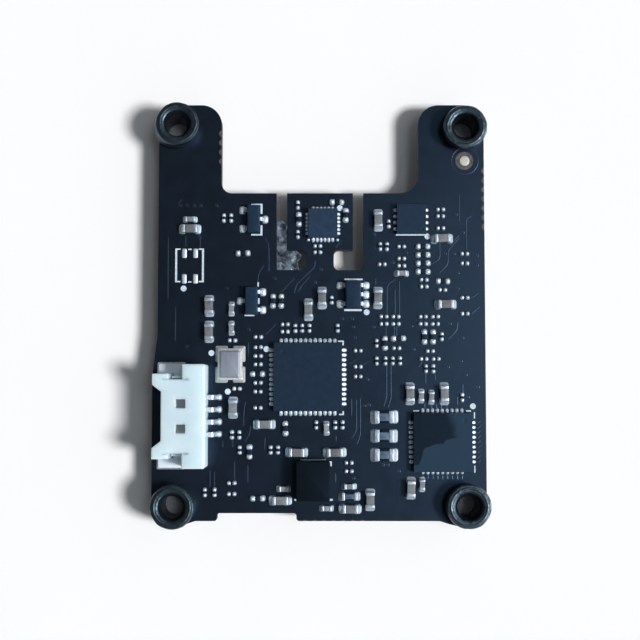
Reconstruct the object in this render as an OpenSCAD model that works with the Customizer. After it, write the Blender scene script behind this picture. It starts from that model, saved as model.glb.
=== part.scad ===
// Flight controller board on four rubber grommets, in millimetres.
// The origin is the centre of the screw pattern, in the plane that the grommets stand on.

/* [Mounting] */
// Screw spacing across the board
hole_dx = 30; // [29.5:0.1:30.5]
// Screw spacing along the board
hole_dy = 39; // [38.5:0.1:39.5]
// Hole in the board that a grommet's neck fills
hole_d = 3.2; // [3:0.1:3.4]
// Outside diameter of a grommet's flanges
flange_d = 4.5; // [4:0.1:4.6]
// Bore of a grommet, which a small machine screw passes through
bore_d = 2.2; // [2:0.1:2.4]
// Height of a grommet's flange above the board, and below it
flange_h = 1.8; // [1.4:0.1:2.4]

/* [Board] */
// Thickness of the board with its solder mask
board_t = 1.2; // [1:0.1:1.6]
// Thickness of the solder mask on each side
mask_t = 0.05; // [0.03:0.01:0.08]
// Right edge, from the pattern's centre line
right_edge = 17; // [16.8:0.05:17.2]
// Left edge of the upper half, from the pattern's centre line
left_edge = 16.7; // [16.5:0.05:16.9]
// How far the left edge steps out beside the connector
left_step = 0.5; // [0.3:0.05:0.7]
// Top edge of the two arms
arm_top = 21.9; // [21.6:0.05:22.2]
// Inner edge of each arm
arm_inner = 10.2; // [9.8:0.05:10.6]
// Edge of the notch between the arms
notch_y = 12.65; // [12.5:0.05:12.8]
// Bottom edge, from the pattern's centre line
tail_y = 21; // [20.8:0.05:21.1]
// Depth of the shallow recess in the bottom edge
recess_depth = 0.8; // [0.4:0.05:0.9]

/* [Sensor island] */
// Centre line of the vertical cut on each side of the island
slot_x = 3.95; // [3.8:0.05:4.1]
// Width of that cut
slot_w = 1.1; // [0.8:0.05:1.2]
// Lower edge of the foot of each cut
slot_foot_y = 4.65; // [4.5:0.05:4.8]
// Height of the foot
slot_foot_h = 2.1; // [1.6:0.1:2.1]
// Half width of the neck that carries the island
neck_half = 1.42; // [1.3:0.02:1.6]

/* [Connector] */
// Number of contacts
contact_count = 4; // [4:1:4]
// Contact spacing
contact_pitch = 1.25; // [1.2:0.05:1.3]
// Height of the housing
socket_h = 3.4; // [3.2:0.1:3.8]
// Width of the housing along the board's edge
socket_w = 10.4; // [10.2:0.1:10.6]

/* [Chip packages] */
// Height of the controller, a flat package of seven millimetres
controller_h = 0.75; // [0.6:0.05:0.95]
// Height of the motor driver, a flat package of six millimetres
driver_h = 0.9; // [0.7:0.05:1]
// Height of the motion sensor, a flat package of three millimetres
sensor_h = 0.9; // [0.7:0.05:1]
// Height of the bus transceiver, a flat package of three millimetres
transceiver_h = 0.85; // [0.7:0.05:1]
// Height of the moulded inductor
inductor_h = 2; // [1.5:0.1:2.4]

/* [Hidden] */
$fn = 48;

// Levels
board_z = flange_h;
top_z = board_z + board_t;
laminate_z = board_z + mask_t;
laminate_t = board_t - 2 * mask_t;
hole_places = [for (sx = [-1, 1], sy = [1, -1]) [sx * hole_dx / 2, sy * hole_dy / 2]];

// Outline details
lug_r = 2;
arm_corner_r = 2.1;
notch_fillet_left = 1.1;
notch_fillet_right = 1.9;
recess_x = [-10.5, -2.4];
left_step_y = [-2.1, -6.2];
tail_strip = 2;
recess_fillet_r = 0.3;
recess_corner_r = 0.3;
bite_r = 0.33;
tail_bite_r = 0.2;
bite_out = 0.05;
bite_pitch = 0.97;
arm_bites = [16, 4];
side_bites = [9.15, 7];
tail_bites = [-1.5, 7];
seam = 0.01;

// The slope from each lug at the bottom edge up to that edge, as an outline
left_ramp = [
    [-14.3, -tail_y - 0.6], [-13.6, -tail_y - 0.3], [-12.7, -tail_y],
    [-12.7, -tail_y + 1], [-14.3, -tail_y + 1]
];
right_ramp = [
    [14.4, -tail_y + 1], [12.2, -tail_y + 1], [12.2, -tail_y],
    [13.1, -tail_y - 0.3], [14.4, -tail_y - 0.6]
];

// An outline mirrored in x or y, with its points in the same turning order
function mirrored(points, sx, sy) =
    [for (i = [len(points) - 1:-1:0]) [sx * points[i][0], sy * points[i][1]]];

// Ground plane, one copper sheet sealed in the laminate
plane_t = 0.07;
plane_inset = 0.6;
plane_low_y = -17;
plane_z = board_z + board_t / 2;

// Bare copper that the mask leaves open
fiducial_at = [15, 16.05];
fiducial_d = 1;
fiducial_window_d = 1.9;
spare_pads_at = [for (x = [-14, -12.85], y = [6.4, 3.75]) [x, y]];
spare_pad = [0.5, 1];

// Flat leadless packages: centre, body width, pins on each side (x sides, y sides), pitch
controller = [[-1.25, -6.35], 7, [12, 12], 0.5];
driver = [[12.5, -13], 6, [9, 9], 0.5];
sensor = [[0.3, 9.45], 3, [6, 6], 0.4];
transceiver = [[9.4, 9.9], 3, [4, 0], 0.65];
terminal_l = 0.6;
terminal_out = 0.38;
terminal_h = 0.2;
terminal_share = 0.62;
die_share = 0.4;
die_rise = 0.35;
pad_share = 0.66;

// Gull-wing packages: centre, body size, lead reach, leads on the left and on the right
transistor_body = [1.3, 2.9, 1];
transistor_a = [[-6.85, 9.9], transistor_body, 1.25, [-0.95, 0.95], [0]];
transistor_b = [[-7.05, 1.45], transistor_body, 1.25, [0], [-0.92, 0.92]];
regulator = [[3.4, 2.1], [1.6, 2.9, 1.1], 1.45, [-0.95, 0.95], [-0.95, 0, 0.95]];
lead_w = 0.42;
lead_t = 0.15;
package_lift = 0.1;
lead_die_share = [0.5, 0.4, 0.25];
lead_die_rise = 0.35;

// Crystal in a metal-lidded ceramic package
crystal_at = [-9.2, -5.05];
crystal_size = [2.5, 3.2];
crystal_land_t = 0.1;
crystal_land = [1.28, 1.65];
crystal_land_out = 0.28;
crystal_base_h = 0.5;
crystal_wall = 0.35;
crystal_floor_t = 0.15;
crystal_corner_r = 0.18;
crystal_lid_inset = 0.2;
crystal_lid_h = 0.2;
crystal_base_z = top_z + crystal_land_t;
crystal_blank_size = [1.3, 2, 0.1];
crystal_ledge = [1.5, 0.3, 0.1];

// Moulded inductor
inductor_at = [-0.7, -16.85];
inductor_size = [3.4, 4];
inductor_land = [2.6, 1, 0.1];
inductor_land_out = 0.1;
coil_r = [0.7, 1.4];
coil_share = [0.3, 0.4];

// Connector, seen from its rear face at contact_root_x
socket_y = -10.3;
contact_root_x = -11.45;
rear_depth = 2.3;
tunnel_front_x = -15.85;
flare_front_x = -16.75;
flare_back_x = -15.1;
tunnel_half = 3.7;
flare_half = 4.25;
flare_tip = 3.15;
flare_root = 2.45;
mouth_half = 3;
mouth_z = [0.6, 2.8];
mouth_back_x = -12.4;
window_at = [-14.35, 1.25];
window = [0.95, 0.9];
slit = [2.6, 0.16, 0.8];
contact_tip_x = -15.2;
contact_w = 0.4;
contact_z = 1.5;
contact_t = 0.4;
foot_t = 0.25;
tab_x = [-16.5, contact_root_x - rear_depth - 0.05];
tab_w = 1;
tab_t = 0.25;
tab_wall = [0.2, 1.6];

// The splayed lip beside the mouth on the +y side, as an outline
flare = [
    [flare_back_x, flare_half], [flare_front_x, flare_half],
    [flare_front_x, flare_tip], [tunnel_front_x, flare_root], [flare_back_x, flare_root]
];

// Two-terminal chips: length, width, height, and length of one end cap
size_0805 = [2, 1.25, 0.55, 0.5];
size_0603_r = [1.6, 0.8, 0.5, 0.32];
size_0603_c = [1.6, 0.85, 0.8, 0.36];
size_0402_c = [1.05, 0.55, 0.5, 0.27];
size_0402_r = [1, 0.5, 0.35, 0.24];
size_0201 = [0.62, 0.32, 0.3, 0.2];
body_slim = 0.06;
fillet_rise = 0.6;
fillet_knee = [0.4, 0.35];

// Places of the chips, each as x, y and the turn from the X axis
function flat(points) = [for (p = points) [p[0], p[1], 0]];
function upright(points) = [for (p = points) [p[0], p[1], 90]];
function column(x, heights) = [for (y = heights) [x, y]];
function row(y, places) = [for (x = places) [x, y]];

sense_pitch = 1.92;
sense_at = flat(column(6.55, [for (i = [0:2]) -10.45 - i * sense_pitch]));
r0603_at = flat([[3, -18.5]]);
c0603_at = concat(
    flat([[-13.45, 8.9], [12.6, 7.9], [12.9, 1.1], [-5.7, -11.2]]),
    flat(row(-14.05, [-2.4, 1.5])),
    flat([[-4.05, -18.9], [3.05, -19.75]]),
    upright(column(-11.4, [0.95, -1.7])),
    upright(row(1.8, [0.2, 5.95])),
    upright([[6, 9.85], [-1.2, 0.55], [-8.9, -9.5], [9.25, -17.7], [5.1, -18.85]]),
    upright(row(-8.05, [9.2, 12.7]))
);
c0402_at = concat(
    flat([[-13.45, 9.9], [8.4, 4.3], [-3.7, -17.75], [2.95, -17.5], [0.65, -19.7]]),
    upright(column(-9.1, [0.65, -1.35])),
    upright([[10.35, -8.3], [11.4, -8.4], [10.4, -17.3], [0.65, -11.6]])
);
r0402_at = concat(
    flat(column(10.6, [for (i = [0:3]) 7.1 - i * 0.87])),
    flat([[-7.95, 6.4], [1.75, 11.7], [12.65, 3.5], [-6.4, -6.05], [8.05, -2.4], [-6.35, -18.7]]),
    upright(row(1.45, [-4.85, -4])),
    upright(row(-2.25, [10.7, 11.6])),
    upright([[-2.2, 9.9], [2.65, 10.35], [-3.55, -11.6], [-7.2, -14], [6.65, -2.9]])
);
m0201_at = concat(
    flat(column(-0.25, [7.15, 6.5])),
    flat(column(12.45, [10.95, 10.25, 9])),
    flat(column(8.4, [7.1, 5.85, 5.1])),
    flat(column(10.7, [3.65, 2.95])),
    flat(column(14.9, [6.35, 5.35, 1.8, 0.15])),
    flat(row(-0.15, [6.55, 7.8, 10.6, 11.85])),
    flat(row(-0.9, [6.55, 7.8, 10.6, 11.85])),
    flat(column(-6.35, [-2.25, -3.3, -4.2, -5.05, -6.95, -7.85, -9.5])),
    flat(column(-3.6, [-0.95, -1.7])),
    flat(column(3.9, [-3.65, -5.3, -6.3])),
    flat(row(-4.5, [10.65, 11.9])),
    flat(column(2.95, [-15.1, -15.95])),
    flat(column(-9, [-2.6, -17.15, -18.25])),
    flat([[6.4, 5.25], [12.6, 2.6], [-8.5, -7.55], [7.85, -3.4], [11.3, -3.7]]),
    upright(row(10.05, [-9.95, -9.2])),
    upright(column(-2.3, [11.4, 8.35])),
    upright(row(7.1, [6.2, 6.9])),
    upright(row(-1.35, [-2.55, -1.85, -1.1, 1.8])),
    upright(row(-4.7, [5.8, 6.7, 7.45, 8.2])),
    upright(row(-5.5, [10.85, 11.6])),
    upright(row(-11.25, [-0.4, 1.55, 2.3])),
    upright(row(-12.25, [-9, -8.25])),
    upright(row(-13.8, [-8.2, -5.05, -4.3])),
    upright(row(-18.1, [-11.75, -10.75])),
    upright([[7.1, 9.45], [1.2, 1.55], [5.8, -2.9], [12.5, -2.2], [14.55, -8.45]])
);

// White marks: dots as x and y, strokes as two corners
ink_t = 0.03;
dot_r = 0.3;
ink_dots = [
    [-9.45, -7.85], [-11.15, -3.9], [4.8, 0.3], [11.1, 8.15],
    [15.65, -9.35], [-14.05, 2.75], [-5.5, -3.5], [2.05, 11.1]
];
ink_strokes = [
    [[-14.94, 3.4], [-14.74, 6.9]], [[-12.18, 3.4], [-11.98, 6.9]],
    [[-14.74, 6.76], [-14.4, 6.9]], [[-12.52, 6.76], [-12.18, 6.9]],
    [[-14.74, 3.4], [-14.4, 3.54]], [[-12.52, 3.4], [-12.18, 3.54]],
    [[-13.6, 6.74], [-13.25, 6.88]], [[-13.6, 3.36], [-13.25, 3.5]],
    [[-7.1, 11.4], [-6.1, 11.55]], [[-7.1, 8.25], [-6.1, 8.4]],
    [[-6.15, 10.5], [-5.95, 11.55]], [[-6.15, 8.25], [-5.95, 9.3]],
    [[-7.75, -0.1], [-6.75, 0.05]], [[-6.38, 1.15], [-6.22, 1.75]], [[-6.45, 2.95], [-6.3, 3.4]],
    [[2.5, 3.62], [4.4, 3.77]], [[2.5, 0.42], [4.3, 0.62]],
    [[7.85, 8.24], [10.85, 8.38]],
    [[0.82, -15.1], [1.2, -14.95]], [[1.05, -15.45], [1.2, -15.1]],
    [[0.95, -18.95], [1.3, -18.75]], [[-2.6, -18.95], [-2.42, -18.77]],
    [[9.55, -9.9], [10.15, -9.76]], [[14.95, -9.9], [15.45, -9.76]],
    [[15.74, -10.6], [15.86, -9.95]], [[15.74, -16.1], [15.86, -15.4]],
    [[2.3, -10.25], [2.45, -9.85]], [[1.95, -10.25], [2.3, -10.11]],
    [[2.3, -3.1], [2.45, -2.62]], [[1.85, -2.75], [2.3, -2.62]]
];

// A box centred on the Z axis, standing on the XY plane
module block(size) {
    translate([-size[0] / 2, -size[1] / 2, 0])
        cube(size);
}

// Puts its children at each place of a list, on the board's top face
module at_each(places) {
    for (p = places)
        translate([p[0], p[1], top_z])
            rotate([0, 0, p[2]])
                children();
}

// A rectangle given by two corners
module rect(a, b) {
    translate(a)
        square(b - a);
}

// The solid in a corner outside a quarter circle, for a fillet towards +x and +y
module fillet(r) {
    difference() {
        translate([-seam, -seam])
            square(r + seam);
        translate([r, r])
            circle(r);
    }
}

// An arm with two rounded top corners
module arm(x0, x1) {
    r = arm_corner_r;
    rect([x0, notch_y - seam], [x1, arm_top - r]);
    rect([x0 + r, arm_top - r - seam], [x1 - r, arm_top]);
    for (x = [x0 + r, x1 - r])
        translate([x, arm_top - r])
            circle(r);
}

// A strip along the bottom edge from x0 to x1, in either direction, with a rounded corner at x1
module rounded_end(x0, x1) {
    r = recess_corner_r;
    knee = x1 - sign(x1 - x0) * r;
    rect([min(x0, knee), -tail_y], [max(x0, knee), -tail_y + tail_strip]);
    rect([min(x0, x1), -tail_y + r], [max(x0, x1), -tail_y + tail_strip]);
    translate([knee, -tail_y + r])
        circle(r);
}

// The bottom edge, lower on both sides of a shallow recess
module tail() {
    rounded_end(-left_edge, recess_x[0]);
    rounded_end(hole_dx / 2, recess_x[1]);
    translate([recess_x[0], -tail_y + recess_depth])
        mirror([0, 1])
            fillet(recess_fillet_r);
    translate([recess_x[1], -tail_y + recess_depth])
        rotate(180)
            fillet(recess_fillet_r);
    polygon(left_ramp);
    polygon(right_ramp);
}

// The cuts that set the sensor island apart from the board, open to the notch
module island_cuts() {
    foot_top = slot_foot_y + slot_foot_h;
    for (sx = [-1, 1]) {
        x_in = sx * (slot_x - slot_w / 2);
        x_out = sx * (slot_x + slot_w / 2);
        rect([min(x_in, x_out), slot_foot_y], [max(x_in, x_out), notch_y + 1]);
        x_end = sx * (neck_half + slot_foot_h / 4);
        rect([min(x_end, x_out), slot_foot_y], [max(x_end, x_out), foot_top]);
        for (y = [slot_foot_y + slot_foot_h / 4, foot_top - slot_foot_h / 4])
            translate([x_end, y])
                circle(slot_foot_h / 4);
        rect([min(x_end, sx * neck_half), slot_foot_y + slot_foot_h / 4],
            [max(x_end, sx * neck_half), foot_top - slot_foot_h / 4]);
    }
}

// Bites in the mask where the board was snapped out of its panel, each row as a start and a count
module panel_bites() {
    for (i = [0:arm_bites[1] - 1])
        translate([-arm_inner + bite_out, arm_bites[0] + i * bite_pitch])
            circle(bite_r, $fn = 24);
    for (i = [0:side_bites[1] - 1])
        translate([right_edge + bite_out, side_bites[0] + i * bite_pitch])
            circle(bite_r, $fn = 24);
    for (i = [0:tail_bites[1] - 1])
        translate([tail_bites[0] + i * bite_pitch, -tail_y - bite_out])
            circle(tail_bite_r, $fn = 24);
}

// Plan of the board
module board_plan() {
    difference() {
        union() {
            rect([-left_edge, -tail_y + recess_depth], [right_edge, notch_y]);
            rect([right_edge - 4, -hole_dy / 2], [right_edge, 0]);
            arm(-left_edge, -arm_inner);
            arm(arm_inner, right_edge);
            tail();
            polygon([
                [-left_edge, left_step_y[0]], [-left_edge - left_step, left_step_y[1]],
                [-left_edge - left_step, -hole_dy / 2], [-left_edge + 1, -hole_dy / 2]
            ]);
            for (p = hole_places)
                translate(p)
                    circle(lug_r);
            translate([-arm_inner, notch_y])
                fillet(notch_fillet_left);
            translate([arm_inner, notch_y])
                mirror([1, 0])
                    fillet(notch_fillet_right);
        }
        for (p = hole_places)
            translate(p)
                circle(hole_d / 2);
        island_cuts();
    }
}

// Plan of the mask, which the laminate shows beyond at the bites
module mask_plan() {
    difference() {
        board_plan();
        panel_bites();
    }
}

// Plan of the buried ground plane, kept back from every edge and hole
module plane_plan() {
    difference() {
        union() {
            rect([-left_edge + plane_inset, plane_low_y],
                [right_edge - plane_inset, slot_foot_y - plane_inset]);
            for (sx = [-1, 1])
                rect([sx > 0 ? slot_x + slot_w : -left_edge + plane_inset, slot_foot_y - 1],
                    [sx > 0 ? right_edge - plane_inset : -slot_x - slot_w, notch_y - plane_inset]);
        }
        translate(fiducial_at)
            circle(fiducial_window_d / 2);
    }
}

module pcb_laminate() {
    color("#3a3a2c")
        difference() {
            translate([0, 0, laminate_z])
                linear_extrude(laminate_t)
                    board_plan();
            translate([0, 0, plane_z])
                linear_extrude(plane_t)
                    plane_plan();
        }
}

module ground_plane() {
    color("#b87333")
        translate([0, 0, plane_z])
            linear_extrude(plane_t)
                plane_plan();
}

// Plan of the windows in the top mask
module top_windows() {
    translate(fiducial_at)
        circle(fiducial_window_d / 2);
    for (p = spare_pads_at)
        translate(p)
            square(spare_pad, center = true);
}

module solder_mask_top() {
    color("#1c2230")
        translate([0, 0, top_z - mask_t])
            linear_extrude(mask_t)
                difference() {
                    mask_plan();
                    top_windows();
                }
}

module solder_mask_bottom() {
    color("#1c2230")
        translate([0, 0, board_z])
            linear_extrude(mask_t)
                mask_plan();
}

module copper_pads() {
    color("#d8d8d0")
        translate([0, 0, top_z - mask_t])
            linear_extrude(mask_t) {
                translate(fiducial_at)
                    circle(fiducial_d / 2);
                for (p = spare_pads_at)
                    translate(p)
                        square(spare_pad, center = true);
            }
}

module silkscreen() {
    color("#e8ecee")
        translate([0, 0, top_z])
            linear_extrude(ink_t) {
                for (p = ink_dots)
                    translate(p)
                        circle(dot_r, $fn = 32);
                for (s = ink_strokes)
                    rect(s[0], s[1]);
            }
}

// A grommet: two flanges, a neck in the board's hole, and a bore with a flared upper mouth
module grommet(place) {
    flange_r = flange_d / 2;
    bore_r = bore_d / 2;
    round_r = 0.3;
    mouth_r = bore_r + 0.3;
    mouth_depth = 0.5;
    past = 0.1;
    height = 2 * flange_h + board_t;
    color("#202226")
        translate([place[0], place[1], 0])
            rotate_extrude()
                difference() {
                    union() {
                        rect([bore_r, 0], [hole_d / 2, height]);
                        rect([bore_r, 0], [flange_r - round_r, flange_h]);
                        rect([bore_r, round_r], [flange_r, flange_h]);
                        rect([bore_r, top_z], [flange_r, height - round_r]);
                        rect([bore_r, top_z], [flange_r - round_r, height]);
                        for (z = [round_r, height - round_r])
                            translate([flange_r - round_r, z])
                                circle(round_r, $fn = 24);
                    }
                    polygon([
                        [bore_r - past, height - mouth_depth], [bore_r, height - mouth_depth],
                        [mouth_r, height], [mouth_r, height + past], [bore_r - past, height + past]
                    ]);
                }
}

module grommet_left_arm() {
    grommet([-hole_dx / 2, hole_dy / 2]);
}

module grommet_right_arm() {
    grommet([hole_dx / 2, hole_dy / 2]);
}

module grommet_left_tail() {
    grommet([-hole_dx / 2, -hole_dy / 2]);
}

module grommet_right_tail() {
    grommet([hole_dx / 2, -hole_dy / 2]);
}

// Clear sealant squeezed into the lower part of the left cut
module slot_sealant() {
    x_out = -slot_x - slot_w / 2;
    x_in = -slot_x + slot_w / 2;
    sunk = 0.1;
    color("#c9ced0")
        translate([0, 0, board_z])
            linear_extrude(board_t - sunk)
                intersection() {
                    island_cuts();
                    polygon([
                        [x_out, slot_foot_y], [x_out, 9.6], [-4, 9.9], [x_in, 9.4],
                        [x_in, slot_foot_y + slot_foot_h], [-2.4, slot_foot_y + 2],
                        [-1.9, slot_foot_y + 1.6], [-2.3, slot_foot_y + 0.9], [-2.2, slot_foot_y]
                    ]);
                }
}

// Plan of the connector housing
module housing_plan() {
    rect([contact_root_x - rear_depth, -socket_w / 2], [contact_root_x, socket_w / 2]);
    rect([tunnel_front_x, -tunnel_half], [contact_root_x, tunnel_half]);
    polygon(flare);
    polygon(mirrored(flare, 1, -1));
}

module connector_housing() {
    color("#e6eef0")
        translate([0, socket_y, top_z])
            difference() {
                linear_extrude(socket_h)
                    housing_plan();
                translate([flare_front_x - 1, -mouth_half, mouth_z[0]])
                    cube([mouth_back_x - flare_front_x + 1, 2 * mouth_half, mouth_z[1] - mouth_z[0]]);
                for (sy = [-1, 1]) {
                    translate([window_at[0], sy * window_at[1] - window[1] / 2, mouth_z[1] - seam])
                        cube([window[0], window[1], socket_h]);
                    translate([tunnel_front_x + 0.1, sy * tunnel_half - slit[1] / 2, socket_h - slit[2]])
                        cube(slit + [0, 0, 1]);
                }
                contact_bars();
            }
}

// The straight bar of each contact, from the mouth through the rear wall
module contact_bars() {
    for (i = [0:contact_count - 1])
        translate([contact_tip_x, (i - (contact_count - 1) / 2) * contact_pitch - contact_w / 2, contact_z])
            cube([contact_root_x - contact_tip_x, contact_w, contact_t]);
}

module connector_contacts() {
    step_x = contact_root_x + 0.75;
    foot_x = contact_root_x + 1.3;
    lean = 0.2;
    color("#d9dadd")
        translate([0, socket_y, top_z]) {
            contact_bars();
            for (i = [0:contact_count - 1])
                translate([0, (i - (contact_count - 1) / 2) * contact_pitch + contact_w / 2, 0])
                    rotate([90, 0, 0])
                        linear_extrude(contact_w)
                            polygon([
                                [contact_root_x, contact_z], [step_x - lean, contact_z], [step_x, 0],
                                [foot_x, 0], [foot_x, foot_t], [step_x + lean, foot_t],
                                [step_x, contact_z + contact_t], [contact_root_x, contact_z + contact_t]
                            ]);
        }
}

// Metal tabs that anchor the connector to the board, one at each end
module connector_solder_tabs() {
    foot_y = flare_half + 0.05;
    root_x = flare_back_x + 0.1;
    root_y = tunnel_half + 0.1;
    root_l = tab_x[1] - root_x;
    color("#c8cace")
        for (sy = [-1, 1])
            translate([0, socket_y, top_z]) {
                translate([tab_x[0], sy > 0 ? foot_y : -foot_y - tab_w, 0])
                    cube([tab_x[1] - tab_x[0], tab_w, tab_t]);
                translate([root_x, sy > 0 ? root_y : -foot_y, 0])
                    cube([root_l, foot_y - root_y, tab_t]);
                translate([root_x, sy > 0 ? root_y : -root_y - tab_wall[0], tab_t])
                    cube([root_l, tab_wall[0], tab_wall[1]]);
            }
}

// Moulded body of a flat package, hollow below for its die
module flat_package(p, height) {
    translate([p[0][0], p[0][1], top_z + terminal_h])
        difference() {
            block([p[1], p[1], height - terminal_h]);
            translate([0, 0, -seam])
                block([p[1] * die_share, p[1] * die_share, height * die_rise + seam]);
        }
}

// The die, which stands on the thermal pad
module flat_die(p, height) {
    translate([p[0][0], p[0][1], top_z + terminal_h])
        block([p[1] * die_share, p[1] * die_share, height * die_rise]);
}

// The exposed pad under a flat package
module flat_pad(p) {
    translate([p[0][0], p[0][1], top_z])
        block([p[1] * pad_share, p[1] * pad_share, terminal_h]);
}

// One row of terminals along +x, seen from the package's centre
module terminal_row(count, pitch, reach) {
    width = pitch * terminal_share;
    for (i = [0:1:count - 1])
        translate([reach - terminal_l, (i - (count - 1) / 2) * pitch - width / 2, 0])
            cube([terminal_l, width, terminal_h]);
}

// Soldered terminals on the sides of a flat package
module flat_terminals(p) {
    reach = p[1] / 2 + terminal_out;
    translate([p[0][0], p[0][1], top_z])
        for (side = [0:3])
            rotate([0, 0, side * 90])
                terminal_row(p[2][side % 2], p[3], reach);
}

module controller_package() {
    color("#26282c")
        flat_package(controller, controller_h);
}

module controller_terminals() {
    color("#d0d2d6")
        flat_terminals(controller);
}

module controller_thermal_pad() {
    color("#b9babd")
        flat_pad(controller);
}

module controller_die() {
    color("#55585e")
        flat_die(controller, controller_h);
}

module driver_package() {
    color("#26282c")
        flat_package(driver, driver_h);
}

module driver_terminals() {
    color("#d0d2d6")
        flat_terminals(driver);
}

module driver_thermal_pad() {
    color("#b9babd")
        flat_pad(driver);
}

module driver_die() {
    color("#55585e")
        flat_die(driver, driver_h);
}

module motion_sensor_package() {
    color("#2a3038")
        flat_package(sensor, sensor_h);
}

module motion_sensor_terminals() {
    color("#d0d2d6")
        flat_terminals(sensor);
}

module motion_sensor_base() {
    color("#8a8468")
        flat_pad(sensor);
}

module motion_sensor_die() {
    color("#55585e")
        flat_die(sensor, sensor_h);
}

module transceiver_package() {
    color("#26282c")
        flat_package(transceiver, transceiver_h);
}

module transceiver_terminals() {
    color("#d0d2d6")
        flat_terminals(transceiver);
}

module transceiver_thermal_pad() {
    color("#b9babd")
        flat_pad(transceiver);
}

module transceiver_die() {
    color("#55585e")
        flat_die(transceiver, transceiver_h);
}

// Die inside a gull-wing package
module lead_die(p) {
    size = p[1];
    translate([p[0][0], p[0][1], top_z + size[2] * lead_die_rise])
        block([for (i = [0:2]) size[i] * lead_die_share[i]]);
}

// Moulded body of a gull-wing package, bevelled at the mid line, where the leads come out
module lead_package(p) {
    size = p[1];
    draft = 0.1;
    mid = size[2] * 0.5;
    difference() {
        translate([p[0][0], p[0][1] + size[1] / 2, top_z])
            rotate([90, 0, 0])
                linear_extrude(size[1])
                    polygon([
                        [-size[0] / 2 + draft, package_lift], [size[0] / 2 - draft, package_lift],
                        [size[0] / 2, mid], [size[0] / 2, mid + lead_t],
                        [size[0] / 2 - draft, size[2]], [-size[0] / 2 + draft, size[2]],
                        [-size[0] / 2, mid + lead_t], [-size[0] / 2, mid]
                    ]);
        lead_die(p);
    }
}

// One bent lead, leaving the body at +x
module bent_lead(size, reach) {
    mid = size[2] * 0.5;
    knee = size[0] / 2 + 0.12;
    heel = knee + 0.1;
    translate([0, lead_w / 2, 0])
        rotate([90, 0, 0])
            linear_extrude(lead_w)
                polygon([
                    [size[0] / 2, mid], [knee, mid], [heel, 0], [reach, 0], [reach, lead_t],
                    [heel + lead_t, lead_t], [knee + lead_t, mid + lead_t], [size[0] / 2, mid + lead_t]
                ]);
}

module package_leads(p) {
    translate([p[0][0], p[0][1], top_z]) {
        for (y = p[3])
            translate([0, y, 0])
                mirror([1, 0, 0])
                    bent_lead(p[1], p[2]);
        for (y = p[4])
            translate([0, y, 0])
                bent_lead(p[1], p[2]);
    }
}

module regulator_package() {
    color("#232529")
        lead_package(regulator);
}

module regulator_leads() {
    color("#cfd1d5")
        package_leads(regulator);
}

module regulator_die() {
    color("#55585e")
        lead_die(regulator);
}

module transistor_packages() {
    color("#232529") {
        lead_package(transistor_a);
        lead_package(transistor_b);
    }
}

module transistor_leads() {
    color("#cfd1d5") {
        package_leads(transistor_a);
        package_leads(transistor_b);
    }
}

module transistor_dies() {
    color("#55585e") {
        lead_die(transistor_a);
        lead_die(transistor_b);
    }
}

// Soldered lands under the crystal's four corners
module crystal_lands() {
    reach = crystal_size / 2 + [crystal_land_out, crystal_land_out] - crystal_land / 2;
    color("#d0d2d6")
        for (sx = [-1, 1], sy = [-1, 1])
            translate([crystal_at[0] + sx * reach[0], crystal_at[1] + sy * reach[1], top_z])
                block([crystal_land[0], crystal_land[1], crystal_land_t]);
}

// Ceramic tray of the crystal, with notched corners
module crystal_base() {
    color("#8d8577")
        translate([crystal_at[0], crystal_at[1], crystal_base_z])
            difference() {
                block([crystal_size[0], crystal_size[1], crystal_base_h]);
                translate([0, 0, crystal_floor_t])
                    block([
                        crystal_size[0] - 2 * crystal_wall, crystal_size[1] - 2 * crystal_wall,
                        crystal_base_h
                    ]);
                for (sx = [-1, 1], sy = [-1, 1])
                    translate([sx * crystal_size[0] / 2, sy * crystal_size[1] / 2, -seam])
                        cylinder(r = crystal_corner_r, h = crystal_base_h + 2 * seam, $fn = 24);
            }
}

module crystal_lid() {
    color("#aab0ba")
        translate([crystal_at[0], crystal_at[1], crystal_base_z + crystal_base_h])
            block([
                crystal_size[0] - 2 * crystal_lid_inset, crystal_size[1] - 2 * crystal_lid_inset,
                crystal_lid_h
            ]);
}

// Quartz plate, held on the floor of the tray by a ledge at one end
module crystal_blank() {
    color("#dfe6ea")
        translate([crystal_at[0], crystal_at[1], crystal_base_z + crystal_floor_t]) {
            block(crystal_blank_size);
            translate([0, -(crystal_blank_size[1] + crystal_ledge[1]) / 2 + 0.1, 0])
                block(crystal_ledge);
        }
}

// Ring that the coil fills inside the inductor
module coil_ring() {
    translate([inductor_at[0], inductor_at[1], top_z + inductor_h * coil_share[0]])
        rotate_extrude()
            rect([coil_r[0], 0], [coil_r[1], inductor_h * coil_share[1]]);
}

module inductor_body() {
    color("#1d1f23")
        difference() {
            translate([inductor_at[0], inductor_at[1], top_z + inductor_land[2]])
                block([inductor_size[0], inductor_size[1], inductor_h - inductor_land[2]]);
            coil_ring();
        }
}

module inductor_coil() {
    color("#b5713a")
        coil_ring();
}

// Flat terminals under the inductor's two ends
module inductor_terminals() {
    color("#cfd1d5")
        for (sy = [-1, 1])
            translate([
                inductor_at[0],
                inductor_at[1] + sy * (inductor_size[1] / 2 + inductor_land_out - inductor_land[1] / 2),
                top_z
            ])
                block(inductor_land);
}

// Middle of a chip, a little slimmer than its end caps
module chip_bodies(places, size) {
    at_each(places)
        translate([0, 0, body_slim / 2])
            block([size[0] - 2 * size[3], size[1] - body_slim, size[2] - body_slim]);
}

// Metal end caps of a chip
module chip_ends(places, size) {
    at_each(places)
        for (sx = [-1, 1])
            translate([sx * (size[0] - size[3]) / 2, 0, 0])
                block([size[3], size[1], size[2]]);
}

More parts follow.
